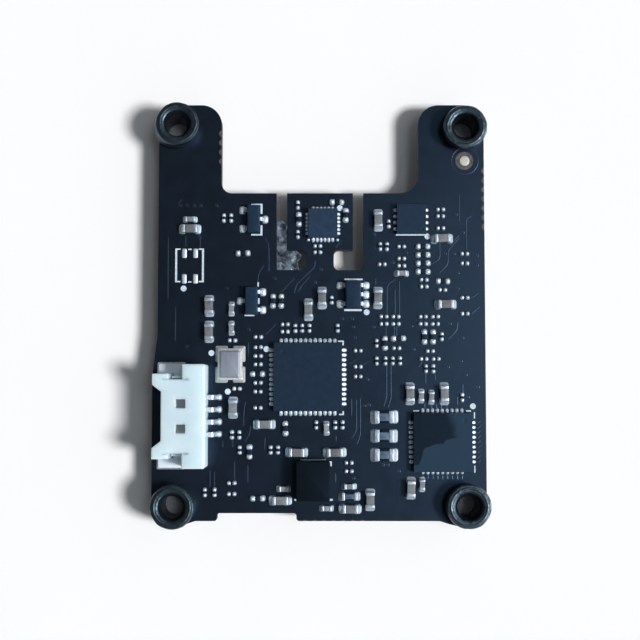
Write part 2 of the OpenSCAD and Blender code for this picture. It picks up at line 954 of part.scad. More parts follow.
// Solder ramp at each end of a chip
module chip_fillets(places, size, toe) {
    rise = size[2] * fillet_rise;
    at_each(places)
        for (turn = [0, 180])
            rotate([0, 0, turn])
                translate([size[0] / 2, size[1] / 2, 0])
                    rotate([90, 0, 0])
                        linear_extrude(size[1])
                            polygon([
                                [0, 0], [toe, 0],
                                [toe * fillet_knee[0], rise * fillet_knee[1]], [0, rise]
                            ]);
}

module sense_resistor_bodies() {
    color("#5d6f85")
        chip_bodies(sense_at, size_0805);
}

module sense_resistor_ends() {
    color("#cfd3d8")
        chip_ends(sense_at, size_0805);
}

module resistor_0603_body() {
    color("#4b586a")
        chip_bodies(r0603_at, size_0603_r);
}

module resistor_0603_ends() {
    color("#cfd3d8")
        chip_ends(r0603_at, size_0603_r);
}

module capacitor_0603_bodies() {
    color("#9a958f")
        chip_bodies(c0603_at, size_0603_c);
}

module capacitor_0603_ends() {
    color("#cfd3d8")
        chip_ends(c0603_at, size_0603_c);
}

module capacitor_0402_bodies() {
    color("#9a958f")
        chip_bodies(c0402_at, size_0402_c);
}

module capacitor_0402_ends() {
    color("#cfd3d8")
        chip_ends(c0402_at, size_0402_c);
}

module resistor_0402_bodies() {
    color("#24272d")
        chip_bodies(r0402_at, size_0402_r);
}

module resistor_0402_ends() {
    color("#cfd3d8")
        chip_ends(r0402_at, size_0402_r);
}

module chip_0201_bodies() {
    color("#5a5d62")
        chip_bodies(m0201_at, size_0201);
}

module chip_0201_ends() {
    color("#cfd3d8")
        chip_ends(m0201_at, size_0201);
}

module solder_fillets() {
    color("#c3c7cc") {
        chip_fillets(sense_at, size_0805, 0.42);
        chip_fillets(r0603_at, size_0603_r, 0.33);
        chip_fillets(c0603_at, size_0603_c, 0.35);
        chip_fillets(c0402_at, size_0402_c, 0.22);
        chip_fillets(r0402_at, size_0402_r, 0.15);
    }
}

pcb_laminate();
ground_plane();
solder_mask_top();
solder_mask_bottom();
copper_pads();
silkscreen();
grommet_left_arm();
grommet_right_arm();
grommet_left_tail();
grommet_right_tail();
slot_sealant();
connector_housing();
connector_contacts();
connector_solder_tabs();
controller_package();
controller_terminals();
controller_thermal_pad();
controller_die();
driver_package();
driver_terminals();
driver_thermal_pad();
driver_die();
motion_sensor_package();
motion_sensor_terminals();
motion_sensor_base();
motion_sensor_die();
transceiver_package();
transceiver_terminals();
transceiver_thermal_pad();
transceiver_die();
regulator_package();
regulator_leads();
regulator_die();
transistor_packages();
transistor_leads();
transistor_dies();
crystal_lands();
crystal_base();
crystal_lid();
crystal_blank();
inductor_body();
inductor_coil();
inductor_terminals();
sense_resistor_bodies();
sense_resistor_ends();
resistor_0603_body();
resistor_0603_ends();
capacitor_0603_bodies();
capacitor_0603_ends();
capacitor_0402_bodies();
capacitor_0402_ends();
resistor_0402_bodies();
resistor_0402_ends();
chip_0201_bodies();
chip_0201_ends();
solder_fillets();
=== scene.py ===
"""Looks of a flight controller board: solder, chips, traces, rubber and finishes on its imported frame."""
import math
import random
from collections import namedtuple

import bpy
from mathutils import Matrix, Vector, noise


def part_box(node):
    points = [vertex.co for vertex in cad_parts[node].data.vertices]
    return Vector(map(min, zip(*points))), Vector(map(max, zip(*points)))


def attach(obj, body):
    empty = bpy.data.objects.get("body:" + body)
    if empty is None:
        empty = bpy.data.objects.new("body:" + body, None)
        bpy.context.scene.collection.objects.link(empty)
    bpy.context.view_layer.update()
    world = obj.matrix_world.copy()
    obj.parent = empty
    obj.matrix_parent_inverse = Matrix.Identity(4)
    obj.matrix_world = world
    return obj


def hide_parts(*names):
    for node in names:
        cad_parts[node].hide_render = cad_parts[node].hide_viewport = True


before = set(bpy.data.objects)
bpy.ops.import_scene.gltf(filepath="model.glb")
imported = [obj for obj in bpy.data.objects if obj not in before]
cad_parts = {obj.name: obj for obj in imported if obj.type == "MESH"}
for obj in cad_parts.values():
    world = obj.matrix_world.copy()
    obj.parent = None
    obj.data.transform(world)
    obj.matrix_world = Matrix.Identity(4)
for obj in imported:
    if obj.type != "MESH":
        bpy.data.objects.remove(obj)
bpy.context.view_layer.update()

MM = 0.001
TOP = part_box("solder_mask_top")[1].z / MM
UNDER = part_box("solder_mask_bottom")[0].z / MM
Z_AXIS = Vector((0, 0, 1))
Y_AXIS = Vector((0, 1, 0))
rng = random.Random(11)


# Frame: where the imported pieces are

Box = namedtuple("Box", "low high")


def middle(box):
    """Centre of a box."""
    return (box.low + box.high) / 2


def islands(node):
    """Boxes of the separate solids of a CAD node, in millimetres, ordered by place."""
    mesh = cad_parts[node].data
    keys = [tuple(round(c / MM, 3) for c in vertex.co) for vertex in mesh.vertices]
    parent = {key: key for key in keys}

    def root(key):
        while parent[key] != key:
            parent[key] = parent[parent[key]]
            key = parent[key]
        return key

    for polygon in mesh.polygons:
        first = root(keys[polygon.vertices[0]])
        for index in polygon.vertices[1:]:
            parent[root(keys[index])] = first
    groups = {}
    for key in parent:
        groups.setdefault(root(key), []).append(key)
    boxes = []
    for points in groups.values():
        axes = list(zip(*points))
        boxes.append(Box(Vector([min(a) for a in axes]), Vector([max(a) for a in axes])))
    return sorted(boxes, key=lambda box: (round(box.low.x, 2), round(box.low.y, 2), box.low.z))


def island(node):
    """Box of a whole CAD node, in millimetres."""
    low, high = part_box(node)
    return Box(low / MM, high / MM)


# Shapes, in millimetres


def rounded_rect(low, high, radius, z, steps=4):
    """Points of a rectangle with rounded corners, at height z."""
    half = min(high[0] - low[0], high[1] - low[1]) / 2
    r = max(0.001, min(radius, 0.98 * half))
    x0, y0 = (low[0] + r, low[1] + r)
    x1, y1 = (high[0] - r, high[1] - r)
    points = []
    for corner, (x, y) in enumerate(((x1, y1), (x0, y1), (x0, y0), (x1, y0))):
        for step in range(steps + 1):
            angle = math.radians(90 * (corner + step / steps))
            points.append((x + r * math.cos(angle), y + r * math.sin(angle), z))
    return points


def inset_rect(low, high, inset, radius, z, steps=4):
    """Points of a rounded rectangle that is drawn in on all sides."""
    inner_low = (low[0] + inset, low[1] + inset)
    inner_high = (high[0] - inset, high[1] - inset)
    return rounded_rect(inner_low, inner_high, radius, z, steps)


def shares(steps):
    """Even steps from 0 to 1."""
    return [i / steps for i in range(steps + 1)]


def quarter(steps):
    """Angles of a quarter turn."""
    return [math.radians(90 * i / steps) for i in range(steps + 1)]


def circle(x, y, radius, z, count=20):
    """Points of a level circle."""
    turns = [2 * math.pi * i / count for i in range(count)]
    return [(x + radius * math.cos(t), y + radius * math.sin(t), z) for t in turns]


def pillow(low, high, edge, corner, steps=3):
    """Rings of a box whose edges are rounded in height by edge and in plan by corner."""
    turns = quarter(steps)
    levels = [(edge * (1 - math.sin(t)), low[2] + edge * (1 - math.cos(t))) for t in turns]
    levels += [(edge * (1 - math.sin(t)), high[2] - edge * (1 - math.cos(t))) for t in reversed(turns)]
    return [inset_rect(low, high, inset, max(corner - inset, 0.01), z) for inset, z in levels]


def rounded_path(points, radius, steps=4):
    """A path with its inner corners rounded."""
    points = [Vector(p) for p in points]
    path = [points[0]]
    for before, corner, after in zip(points, points[1:], points[2:]):
        reach = min(radius, (before - corner).length / 2, (after - corner).length / 2)
        start = corner + (before - corner).normalized() * reach
        end = corner + (after - corner).normalized() * reach
        for t in shares(steps):
            path.append(start * (1 - t) ** 2 + corner * 2 * t * (1 - t) + end * t ** 2)
    path.append(points[-1])
    return path


def sweep(path, section, up=None):
    """Rings of a section carried along a path, with its up direction held, or else its side along Y."""
    rings = []
    last = len(path) - 1
    for i, point in enumerate(path):
        ahead = (path[min(i + 1, last)] - path[max(i - 1, 0)]).normalized()
        across = up.cross(ahead).normalized() if up else Y_AXIS
        rise = up if up else ahead.cross(Y_AXIS).normalized()
        rings.append([point + across * a + rise * b for a, b in section])
    return rings


def strip_section(width, thickness, edge):
    """Section of a flat metal strip with broken corners."""
    w = width / 2
    t = thickness / 2
    return [
        (w - edge, -t), (w, edge - t), (w, t - edge), (w - edge, t),
        (edge - w, t), (-w, t - edge), (-w, edge - t), (edge - w, -t),
    ]


def spot(x, y, z=0.0, turn=0.0):
    """Placement at a point, turned in plan by degrees."""
    return Matrix.Translation((x, y, z)) @ Matrix.Rotation(math.radians(turn), 4, "Z")


class Soup:
    """Closed solids collected into one mesh."""

    def __init__(self):
        self.points = []
        self.faces = []

    def loft(self, rings, place=None, closed=False):
        """One solid through rings of equal length, with flat ends or closed on itself."""
        start = len(self.points)
        count = len(rings[0])
        for ring in rings:
            for point in ring:
                self.points.append(place @ Vector(point) if place else Vector(point))
        spans = len(rings) if closed else len(rings) - 1
        for level in range(spans):
            a = start + level * count
            b = start + (level + 1) % len(rings) * count
            for i in range(count):
                j = (i + 1) % count
                self.faces.append((a + i, a + j, b + j, b + i))
        if not closed:
            last = start + (len(rings) - 1) * count
            self.faces.append(tuple(reversed(range(start, start + count))))
            self.faces.append(tuple(range(last, last + count)))

    def mesh(self, name):
        """The collected solids as a mesh, in metres."""
        mesh = bpy.data.meshes.new(name)
        mesh.from_pydata([p * MM for p in self.points], [], self.faces)
        return mesh


def solid(rings, place=None, closed=False):
    """A soup of one solid."""
    soup = Soup()
    soup.loft(rings, place, closed)
    return soup


def evaluated_mesh(obj):
    """The mesh of an object with its modifiers applied."""
    bpy.context.view_layer.update()
    graph = bpy.context.evaluated_depsgraph_get()
    return bpy.data.meshes.new_from_object(obj.evaluated_get(graph))


def new_object(name, data):
    """An object in the scene."""
    obj = bpy.data.objects.new(name, data)
    bpy.context.scene.collection.objects.link(obj)
    return obj


def piece(name, shape, material, replaced=(), sharp=40):
    """A piece of the object that rides on its one body and stands for CAD nodes.

    Its shading is smooth, apart from edges over an angle of sharp degrees.
    """
    mesh = shape.mesh(name) if isinstance(shape, Soup) else shape
    mesh.shade_smooth()
    mesh.set_sharp_from_angle(angle=math.radians(sharp))
    mesh.materials.clear()
    mesh.materials.append(material)
    obj = new_object(name, mesh)
    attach(obj, "root")
    if replaced:
        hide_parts(*replaced)
    return obj


def carved(body, cutter):
    """Mesh of one soup with another cut out of it."""
    block = new_object("carve_body", body.mesh("carve_body"))
    tool = new_object("carve_tool", cutter.mesh("carve_tool"))
    modifier = block.modifiers.new("Cut", "BOOLEAN")
    modifier.operation = "DIFFERENCE"
    modifier.solver = "EXACT"
    modifier.use_self = True
    modifier.object = tool
    mesh = evaluated_mesh(block)
    bpy.data.objects.remove(block)
    bpy.data.objects.remove(tool)
    return mesh


# Finishes


def noise_node(tree, coords, per_mm, detail=3.0, stretch=(1, 1, 1)):
    """A noise texture with a number of features per millimetre."""
    mapping = tree.nodes.new("ShaderNodeMapping")
    mapping.inputs["Scale"].default_value = [per_mm / MM * s for s in stretch]
    tree.links.new(coords, mapping.inputs["Vector"])
    texture = tree.nodes.new("ShaderNodeTexNoise")
    texture.inputs["Scale"].default_value = 1.0
    texture.inputs["Detail"].default_value = detail
    tree.links.new(mapping.outputs["Vector"], texture.inputs["Vector"])
    return texture.outputs["Fac"]


def along(tree, coords, direction):
    """How far a place lies along a direction."""
    node = tree.nodes.new("ShaderNodeVectorMath")
    node.operation = "DOT_PRODUCT"
    node.inputs[1].default_value = direction
    tree.links.new(coords, node.inputs[0])
    return node.outputs["Value"]


def remap(tree, value, low, high, to_low=0.0, to_high=1.0):
    """A value moved from one range to another, and held inside it."""
    node = tree.nodes.new("ShaderNodeMapRange")
    node.interpolation_type = "SMOOTHSTEP"
    tree.links.new(value, node.inputs["Value"])
    for name, number in (("From Min", low), ("From Max", high), ("To Min", to_low), ("To Max", to_high)):
        node.inputs[name].default_value = number
    return node.outputs["Result"]


def blend(tree, factor, first, second):
    """Two colours, each a link or a constant, mixed by a factor."""
    node = tree.nodes.new("ShaderNodeMix")
    node.data_type = "RGBA"
    tree.links.new(factor, node.inputs["Factor"])
    for socket, colour in ((node.inputs[6], first), (node.inputs[7], second)):
        if isinstance(colour, tuple):
            socket.default_value = (*colour, 1)
        else:
            tree.links.new(colour, socket)
    return node.outputs[2]


def finish(name, tones, clouds, roughness, relief=None, varied=0.0, stretch=(1, 1, 1), **constants):
    """A surface with clouds between two tones, patchy roughness and a fine relief.

    clouds is in features per millimetre, roughness is a low and a high value, relief is features per
    millimetre and depth in millimetres, varied is how far separate solids differ in brightness, and
    constants are values of the shader's own sockets.
    """
    material = bpy.data.materials.new(name)
    material.use_nodes = True
    tree = material.node_tree
    shader = tree.nodes["Principled BSDF"]
    coords = tree.nodes.new("ShaderNodeTexCoord").outputs["Object"]
    cloud = noise_node(tree, coords, clouds, 4.0, stretch)
    colour = blend(tree, remap(tree, cloud, 0.3, 0.7), *tones)
    if varied:
        chance = tree.nodes.new("ShaderNodeNewGeometry").outputs["Random Per Island"]
        colour = blend(tree, remap(tree, chance, 0.0, 1.0, 0.0, varied), colour, (0.0, 0.0, 0.0))
    tree.links.new(colour, shader.inputs["Base Color"])
    patch = noise_node(tree, coords, clouds * 2.3, 2.0, stretch)
    tree.links.new(remap(tree, patch, 0.3, 0.7, *roughness), shader.inputs["Roughness"])
    if relief:
        bump = tree.nodes.new("ShaderNodeBump")
        bump.inputs["Strength"].default_value = 1.0
        bump.inputs["Distance"].default_value = relief[1] * MM
        tree.links.new(noise_node(tree, coords, relief[0], 3.0, stretch), bump.inputs["Height"])
        tree.links.new(bump.outputs["Normal"], shader.inputs["Normal"])
    for socket, value in constants.items():
        shader.inputs[socket.replace("_", " ")].default_value = value
    return material


COOL = (0.36, 0.62, 1.0, 1.0)
COMPOUND_HUE = (0.27, 0.53, 1.0)


def cool(level):
    """A bluish specular sheen."""
    return {"Specular_IOR_Level": level, "Specular_Tint": COOL}


def compound(name, tone, sheen):
    """Moulding compound: a bluish black that is lighter with a higher tone, with a dull sheen."""
    dark = tuple(tone * share for share in COMPOUND_HUE)
    light = tuple(1.3 * value for value in dark)
    return finish(name, (dark, light), 1.6, (0.48, 0.58), (16, 0.003), **cool(sheen))


MASK = finish(
    "solder_mask", ((0.0036, 0.0048, 0.0082), (0.0045, 0.0061, 0.0102)), 0.35, (0.30, 0.34), (5, 0.0012),
    **cool(0.85)
)
MASK_ON_COPPER = finish(
    "solder_mask_on_copper", ((0.0120, 0.0150, 0.0220), (0.0160, 0.0200, 0.0290)), 0.8, (0.30, 0.34),
    (6, 0.0015), **cool(0.85)
)
LAMINATE = finish(
    "laminate", ((0.055, 0.050, 0.056), (0.105, 0.096, 0.102)), 3.0, (0.55, 0.8), (9, 0.010),
    stretch=(1, 1, 4)
)
COPPER = finish("copper", ((0.6, 0.3, 0.16), (0.72, 0.4, 0.24)), 1.5, (0.3, 0.45), (8, 0.003), Metallic=1.0)
BARE_METAL = finish(
    "bare_metal", ((0.52, 0.52, 0.45), (0.60, 0.60, 0.53)), 4.0, (0.45, 0.55), (9, 0.003), Metallic=0.4
)
INK = finish("ink", ((0.50, 0.62, 0.74), (0.68, 0.80, 0.90)), 4.0, (0.5, 0.7), (12, 0.004))
RUBBER = finish(
    "rubber", ((0.0024, 0.0036, 0.0054), (0.0062, 0.0090, 0.0132)), 1.6, (0.33, 0.52), (2.2, 0.050),
    Specular_IOR_Level=1.0, Specular_Tint=(0.55, 0.80, 1.0, 1.0)
)
NYLON = finish(
    "nylon", ((0.64, 0.82, 0.90), (0.70, 0.87, 0.94)), 0.5, (0.38, 0.5), (14, 0.0025), Subsurface_Weight=1.0,
    Subsurface_Scale=0.0015, Subsurface_Radius=(1.0, 0.8, 0.6)
)
# Painted shade: a warmer, paler copy of the nylon for the mouth's sill seen through the windows, standing in
# for the warm light in the shaded tunnel
NYLON_PAINTED_SHADE = finish("nylon_painted_shade", ((0.92, 0.84, 0.78), (0.96, 0.90, 0.85)), 0.5, (0.5, 0.6), (14, 0.0025))
TIN = finish(
    "tin", ((0.51, 0.60, 0.70), (0.62, 0.71, 0.82)), 3.0, (0.38, 0.47), (9, 0.003), 0.12, Metallic=0.75
)
# Painted light: the anchor tabs lie in the housing's shade, and this paler, less metallic copy of the tin
# stands in for the light they lack
PAINTED_LIGHT_TAB = finish("tab_metal_painted_light", ((0.80, 0.90, 1.0), (0.88, 0.95, 1.0)), 1.6, (0.45, 0.55), (9, 0.003), Metallic=0.1)
SOLDER = finish(
    "solder", ((0.65, 0.76, 0.87), (0.77, 0.87, 0.97)), 4.0, (0.46, 0.56), (7, 0.003), 0.1, Metallic=0.65
)
CORNER_SOLDER = finish(
    "corner_solder", ((0.60, 0.62, 0.62), (0.72, 0.74, 0.74)), 4.0, (0.46, 0.56), (7, 0.003), 0.1,
    Metallic=0.45
)
MOULD = compound("mould_compound", 0.028, 0.4)
CLEAR_MOULD = compound("transceiver_compound", 0.034, 0.4)
PALE_MOULD = compound("pale_mould_compound", 0.054, 0.4)
PATCHY_MOULD = compound("patchy_mould_compound", 0.0095, 0.25)
SILICON = finish(
    "silicon", ((0.12, 0.13, 0.16), (0.18, 0.20, 0.23)), 2.0, (0.12, 0.2), (6, 0.001), Metallic=0.6
)
SUBSTRATE = finish("substrate", ((0.16, 0.14, 0.07), (0.24, 0.21, 0.11)), 4.0, (0.5, 0.65), (10, 0.003))
CAPACITOR = finish(
    "capacitor_ceramic", ((0.15, 0.168, 0.19), (0.21, 0.228, 0.25)), 2.0, (0.42, 0.6), (12, 0.004), 0.3
)
SMALL_CAPACITOR = finish(
    "small_capacitor_ceramic", ((0.22, 0.255, 0.295), (0.30, 0.34, 0.39)), 2.0, (0.42, 0.6), (12, 0.004), 0.3
)
ALUMINA = finish("alumina", ((0.55, 0.56, 0.56), (0.68, 0.69, 0.69)), 5.0, (0.5, 0.65), (14, 0.004))
GLAZE = finish("resistor_glaze", ((0.05, 0.085, 0.14), (0.11, 0.165, 0.25)), 1.6, (0.3, 0.42), (5, 0.004))
OVERCOAT = finish(
    "overcoat", ((0.003, 0.007, 0.013), (0.006, 0.013, 0.022)), 2.0, (0.3, 0.42), (5, 0.004), **cool(0.4)
)
BLACK_GLAZE = finish(
    "black_glaze", ((0.005, 0.009, 0.015), (0.010, 0.016, 0.025)), 3.0, (0.4, 0.55), (6, 0.004), 0.3,
    **cool(0.4)
)
CRYSTAL_CERAMIC = finish(
    "crystal_ceramic", ((0.45, 0.46, 0.46), (0.55, 0.56, 0.56)), 3.0, (0.4, 0.55), (10, 0.004)
)
LID = finish(
    "lid", ((0.23, 0.26, 0.32), (0.29, 0.32, 0.38)), 2.5, (0.5, 0.6), (9, 0.0025),
    stretch=(1, 0.12, 1), Metallic=0.5
)
QUARTZ = finish(
    "quartz", ((0.75, 0.80, 0.83), (0.85, 0.89, 0.91)), 1.0, (0.05, 0.12), Transmission_Weight=0.7
)
FERRITE = finish(
    "ferrite", ((0.0016, 0.0028, 0.0042), (0.0034, 0.0050, 0.0070)), 7.0, (0.55, 0.7), (12, 0.006),
    **cool(0.2)
)
SEALANT = finish(
    "sealant", ((0.010, 0.015, 0.022), (0.17, 0.215, 0.27)), 1.9, (0.22, 0.38), (2.4, 0.08),
    Subsurface_Weight=0.15, Subsurface_Scale=0.0005, Subsurface_Radius=(0.8, 0.9, 1.0),
    Specular_Tint=(0.8, 0.9, 1.0, 1.0)
)

# Paler areas on the driver's moulding: ragged steps towards +X and -Y from its corner at -X and +Y, and a
# soft fade that is paler towards +X
PALER_COLOUR = (0.0180, 0.0360, 0.0600)
PALER_RIGHT = (1.0, -0.3)
PALER_DOWN = (0.16, -1.0)
PALER_STEPS = ((-1.0, 5.3), (2.1, 3.65), (4.05, 3.2))
PALER_STEP_EDGE = (1.0, 0.09)
PALER_FADE = ((1.0, 0.2), 3.9, 1.6, 0.6)
PALER_WAVES = 0.55


def paler_areas(material, corner):
    """Paler areas with ragged edges on a package, placed from its corner at -X and +Y.

    Each step starts so far to the right and so far down from the corner, and its edge has a raggedness
    and a softness. The fade has its direction in plan, its distance from the corner and the same two.
    """
    tree = material.node_tree
    socket = tree.nodes["Principled BSDF"].inputs["Base Color"]
    colour = socket.links[0].from_socket
    coords = tree.nodes.new("ShaderNodeTexCoord").outputs["Object"]
    waves = noise_node(tree, coords, PALER_WAVES)

    def beyond(direction, distance, raggedness, softness):
        east, north = direction
        across = along(tree, coords, (east / MM, north / MM, 0))
        ragged = tree.nodes.new("ShaderNodeMath")
        ragged.operation = "MULTIPLY_ADD"
        ragged.inputs[1].default_value = raggedness
        tree.links.new(waves, ragged.inputs[0])
        tree.links.new(across, ragged.inputs[2])
        edge = corner[0] * east + corner[1] * north + distance + raggedness / 2
        return remap(tree, ragged.outputs["Value"], edge - softness, edge + softness)

    for right, down in PALER_STEPS:
        both = tree.nodes.new("ShaderNodeMath")
        both.operation = "MULTIPLY"
        tree.links.new(beyond(PALER_RIGHT, right, *PALER_STEP_EDGE), both.inputs[0])
        tree.links.new(beyond(PALER_DOWN, down, *PALER_STEP_EDGE), both.inputs[1])
        colour = blend(tree, both.outputs["Value"], colour, PALER_COLOUR)
    colour = blend(tree, beyond(*PALER_FADE), colour, PALER_COLOUR)
    tree.links.new(colour, socket)


driver_box = island("driver_package")
paler_areas(PATCHY_MOULD, (driver_box.low.x, driver_box.high.y))


def coat(material, *nodes):
    """Put a finish on CAD nodes that stay as they are."""
    for node in nodes:
        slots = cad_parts[node].data.materials
        slots.clear()
        slots.append(material)


coat(LAMINATE, "pcb_laminate")
coat(MASK, "solder_mask_top", "solder_mask_bottom")
coat(INK, "silkscreen")
coat(COPPER, "ground_plane", "inductor_coil")
coat(TIN, "controller_thermal_pad", "driver_thermal_pad", "transceiver_thermal_pad", "inductor_terminals")
coat(SUBSTRATE, "motion_sensor_base")
coat(SILICON, "controller_die", "driver_die", "motion_sensor_die", "transceiver_die")
coat(SILICON, "regulator_die", "transistor_dies")
coat(QUARTZ, "crystal_blank")


# Two-terminal chips

Chip = namedtuple("Chip", "place length width height cap")
CHIP_WOBBLE = 1.6
SOLDER_STEPS = 6
CAP_LIFT = 0.01
CAP_EDGE = 0.045
CERAMIC_JOINT_RISE = 0.72
# Share of a cap's length that a body or a resistor's film leaves clear at each end
CERAMIC_CLEAR = 0.7
SLAB_CLEAR = 0.6
FILM_CLEAR = 0.95
FILM_PROUD = 0.005
PATCH_PROUD = 0.012
chip_joints = Soup()


def chips(bodies, ends):
    """The chips of one family: where each lies and how large it is."""
    caps = islands(ends)
    found = []
    for body in islands(bodies):
        centre = middle(body)
        near = sorted(caps, key=lambda box: (middle(box) - centre).length)[:2]
        span = middle(near[1]) - middle(near[0])
        axis = 1 if abs(span.y) > abs(span.x) else 0
        length = max(b.high[axis] for b in near) - min(b.low[axis] for b in near)
        size = near[0].high - near[0].low
        turn = 90 * axis + rng.uniform(-CHIP_WOBBLE, CHIP_WOBBLE)
        found.append(Chip(spot(centre.x, centre.y, TOP, turn), length, size[1 - axis], size.z, size[axis]))
    return found


def chip_block(soup, chip, x0, x1, slim, z0, z1, edge):
    """A rounded block on a chip's axis, slimmer than its caps on each side."""
    half = chip.width / 2 - slim
    soup.loft(pillow((x0, -half, z0), (x1, half, z1), edge, edge), chip.place)


def chip_caps(soup, chip, edge):
    """The two metal end caps of a chip."""
    half = chip.length / 2
    for sign in (-1, 1):
        ends = sorted((sign * half, sign * (half - chip.cap)))
        chip_block(soup, chip, *ends, 0, CAP_LIFT, chip.height, edge)


def chip_solder(soup, chip, toe, side, rise):
    """Solder drawn up the ends of a chip from its lands, hollow towards the board."""
    half = chip.length / 2
    for turn in (0, 180):
        reach = toe * rng.uniform(0.85, 1.1)
        rings = []
        for t in shares(SOLDER_STEPS):
            spread = (1 - t) ** 2.0
            y = chip.width / 2 + side * spread
            low = (half - chip.cap * (0.75 + 0.35 * spread), -y)
            high = (half + 0.004 + reach * spread, y)
            rings.append(rounded_rect(low, high, 0.05 + 0.55 * reach * spread, rise * chip.height * t))
        soup.loft(rings, chip.place @ spot(0, 0, 0, turn))


def dome(low, high, rise, edge, steps=5):
    """Rings of a rounded lump that stands on a level base."""
    rings = []
    for turn in quarter(steps):
        inset = edge * (1 - math.cos(turn))
        rings.append(inset_rect(low, high, inset, edge, low[2] + rise * math.sin(turn)))
    return rings


def chip_lumps(soup, chip, inner, outer, side):
    """Solder that covers both ends of a small chip in rounded lumps."""
    for turn in (0, 180):
        half = (chip.width / 2 + side) * rng.uniform(0.94, 1.06)
        low = (inner, -half, 0.0)
        high = (outer * rng.uniform(0.96, 1.04), half)
        edge = 0.4 * min(high[0] - low[0], 2 * half)
        soup.loft(dome(low, high, chip.height + 0.04, edge), chip.place @ spot(0, 0, 0, turn))


def capacitors(family, ceramic, edge, toe, side):
    """Ceramic capacitors: a fired block between two rounded caps."""
    blocks = Soup()
    tips = Soup()
    for chip in chips(family + "_bodies", family + "_ends"):
        inner = chip.length / 2 - chip.cap * CERAMIC_CLEAR
        chip_block(blocks, chip, -inner, inner, 0.02, 0.03, chip.height - 0.02, edge)
        chip_caps(tips, chip, edge * 1.3)
        chip_solder(chip_joints, chip, toe, side, CERAMIC_JOINT_RISE)
    piece(family + "_ceramic", blocks, ceramic, [family + "_bodies"])
    piece(family + "_tips", tips, TIN, [family + "_ends"])


def resistors(family, bodies, toe, side, rise):
    """Thick-film resistors: a white slab, a dark film with a pale patch on top, and metal ends."""
    slabs = Soup()
    films = Soup()
    patches = Soup()
    tips = Soup()
    for chip in chips(bodies, family + "_ends"):
        inner = chip.length / 2 - chip.cap * SLAB_CLEAR
        film = chip.length / 2 - chip.cap * FILM_CLEAR
        patch = 0.9 * film
        slim = 0.2 * chip.width
        top = chip.height
        slab_top = top - 0.05
        chip_block(slabs, chip, -inner, inner, 0.05, 0.02, slab_top, 0.015)
        chip_block(films, chip, -film, film, 0.03, slab_top - 0.05, top + FILM_PROUD, 0.03)
        chip_block(patches, chip, -patch, patch, slim, top - 0.02, top + PATCH_PROUD, 0.01)
        chip_caps(tips, chip, CAP_EDGE)
        chip_solder(chip_joints, chip, toe, side, rise)
    piece(family + "_film", films, OVERCOAT, [bodies])
    piece(family + "_patch", patches, GLAZE)
    piece(family + "_slab", slabs, ALUMINA)
    piece(family + "_tips", tips, TIN, [family + "_ends"])


def small_chips(family, toe, side):
    """Small chips whose dark bodies show between two rounded lumps of solder."""
    blocks = Soup()
    tips = Soup()
    for chip in chips(family + "_bodies", family + "_ends"):
        half = chip.length / 2
        inner = half - chip.cap * SLAB_CLEAR
        chip_block(blocks, chip, -inner, inner, 0.02, 0.02, chip.height - 0.03, 0.03)
        chip_caps(tips, chip, CAP_EDGE)
        chip_lumps(chip_joints, chip, half - 1.2 * chip.cap, half + toe, side)
    piece(family + "_black", blocks, BLACK_GLAZE, [family + "_bodies"])
    piece(family + "_tips", tips, TIN, [family + "_ends"])


capacitors("capacitor_0603", CAPACITOR, 0.055, 0.36, 0.07)
capacitors("capacitor_0402", SMALL_CAPACITOR, 0.04, 0.24, 0.05)
resistors("sense_resistor", "sense_resistor_bodies", 0.44, 0.07, 0.9)
resistors("resistor_0603", "resistor_0603_body", 0.34, 0.05, 0.85)
small_chips("resistor_0402", 0.29, 0.06)
small_chips("chip_0201", 0.18, 0.055)
piece("chip_solder_joints", chip_joints, SOLDER, ["solder_fillets"], 60)


# Leadless packages

DIMPLE_DEPTH = 0.02
DIMPLE_INSET = 0.14
CORNER_BEAD = 0.32
BEAD_RISE = 0.24


def lens(x, y, z, radius, depth):
    """Rings of a shallow lens that cuts a dish into a surface at height z."""
    levels = ((-depth, 0.15), (-depth * 0.8, 0.5), (-depth * 0.3, 0.85), (0.0, 1.0), (depth, 1.1))
    return [circle(x, y, radius * share, z + rise) for rise, share in levels]


def outward_turn(place, centre):
    """Turn in degrees that faces away from a package's centre."""
    offset = place - centre
    if abs(offset.x) > abs(offset.y):
        return 0 if offset.x > 0 else 180
    return 90 if offset.y > 0 else 270


def leadless(name, mould, dimple, pin_one, bulge, reach, front_reach, corner_beads=()):
    """A flat package: moulded block with a dished pin-one mark, and a solder bead at each terminal.

    pin_one is the sign of the marked corner in x and y, bulge is the width of a bead on its terminal,
    reach is how far along its land a bead runs, front_reach is that of the side towards -Y, and
    corner_beads are the signs of corners with a solder dot of their own.
    """
    body = island(name + "_package")
    centre = middle(body)
    block = solid(pillow((*body.low.xy, TOP + 0.03), body.high, 0.035, 0.06))
    inset = DIMPLE_INSET * (body.high.x - body.low.x)
    half = (body.high - body.low) / 2
    mark = [centre[axis] + pin_one[axis] * (half[axis] - inset) for axis in (0, 1)]
    dish = solid(lens(*mark, body.high.z, dimple, DIMPLE_DEPTH))
    piece(name + "_moulding", carved(block, dish), mould, [name + "_package"], 5)
    beads = Soup()
    terminal_beads(beads, islands(name + "_terminals"), body, bulge, reach, front_reach)
    for east, north in corner_beads:
        x = centre.x + east * half.x - CORNER_BEAD / 2
        y = centre.y + north * (half.y + CORNER_BEAD / 2) - CORNER_BEAD / 2
        beads.loft(dome((x, y, TOP), (x + CORNER_BEAD, y + CORNER_BEAD), 0.2, 0.4 * CORNER_BEAD))
    piece(name + "_beads", beads, SOLDER, [name + "_terminals"], 60)


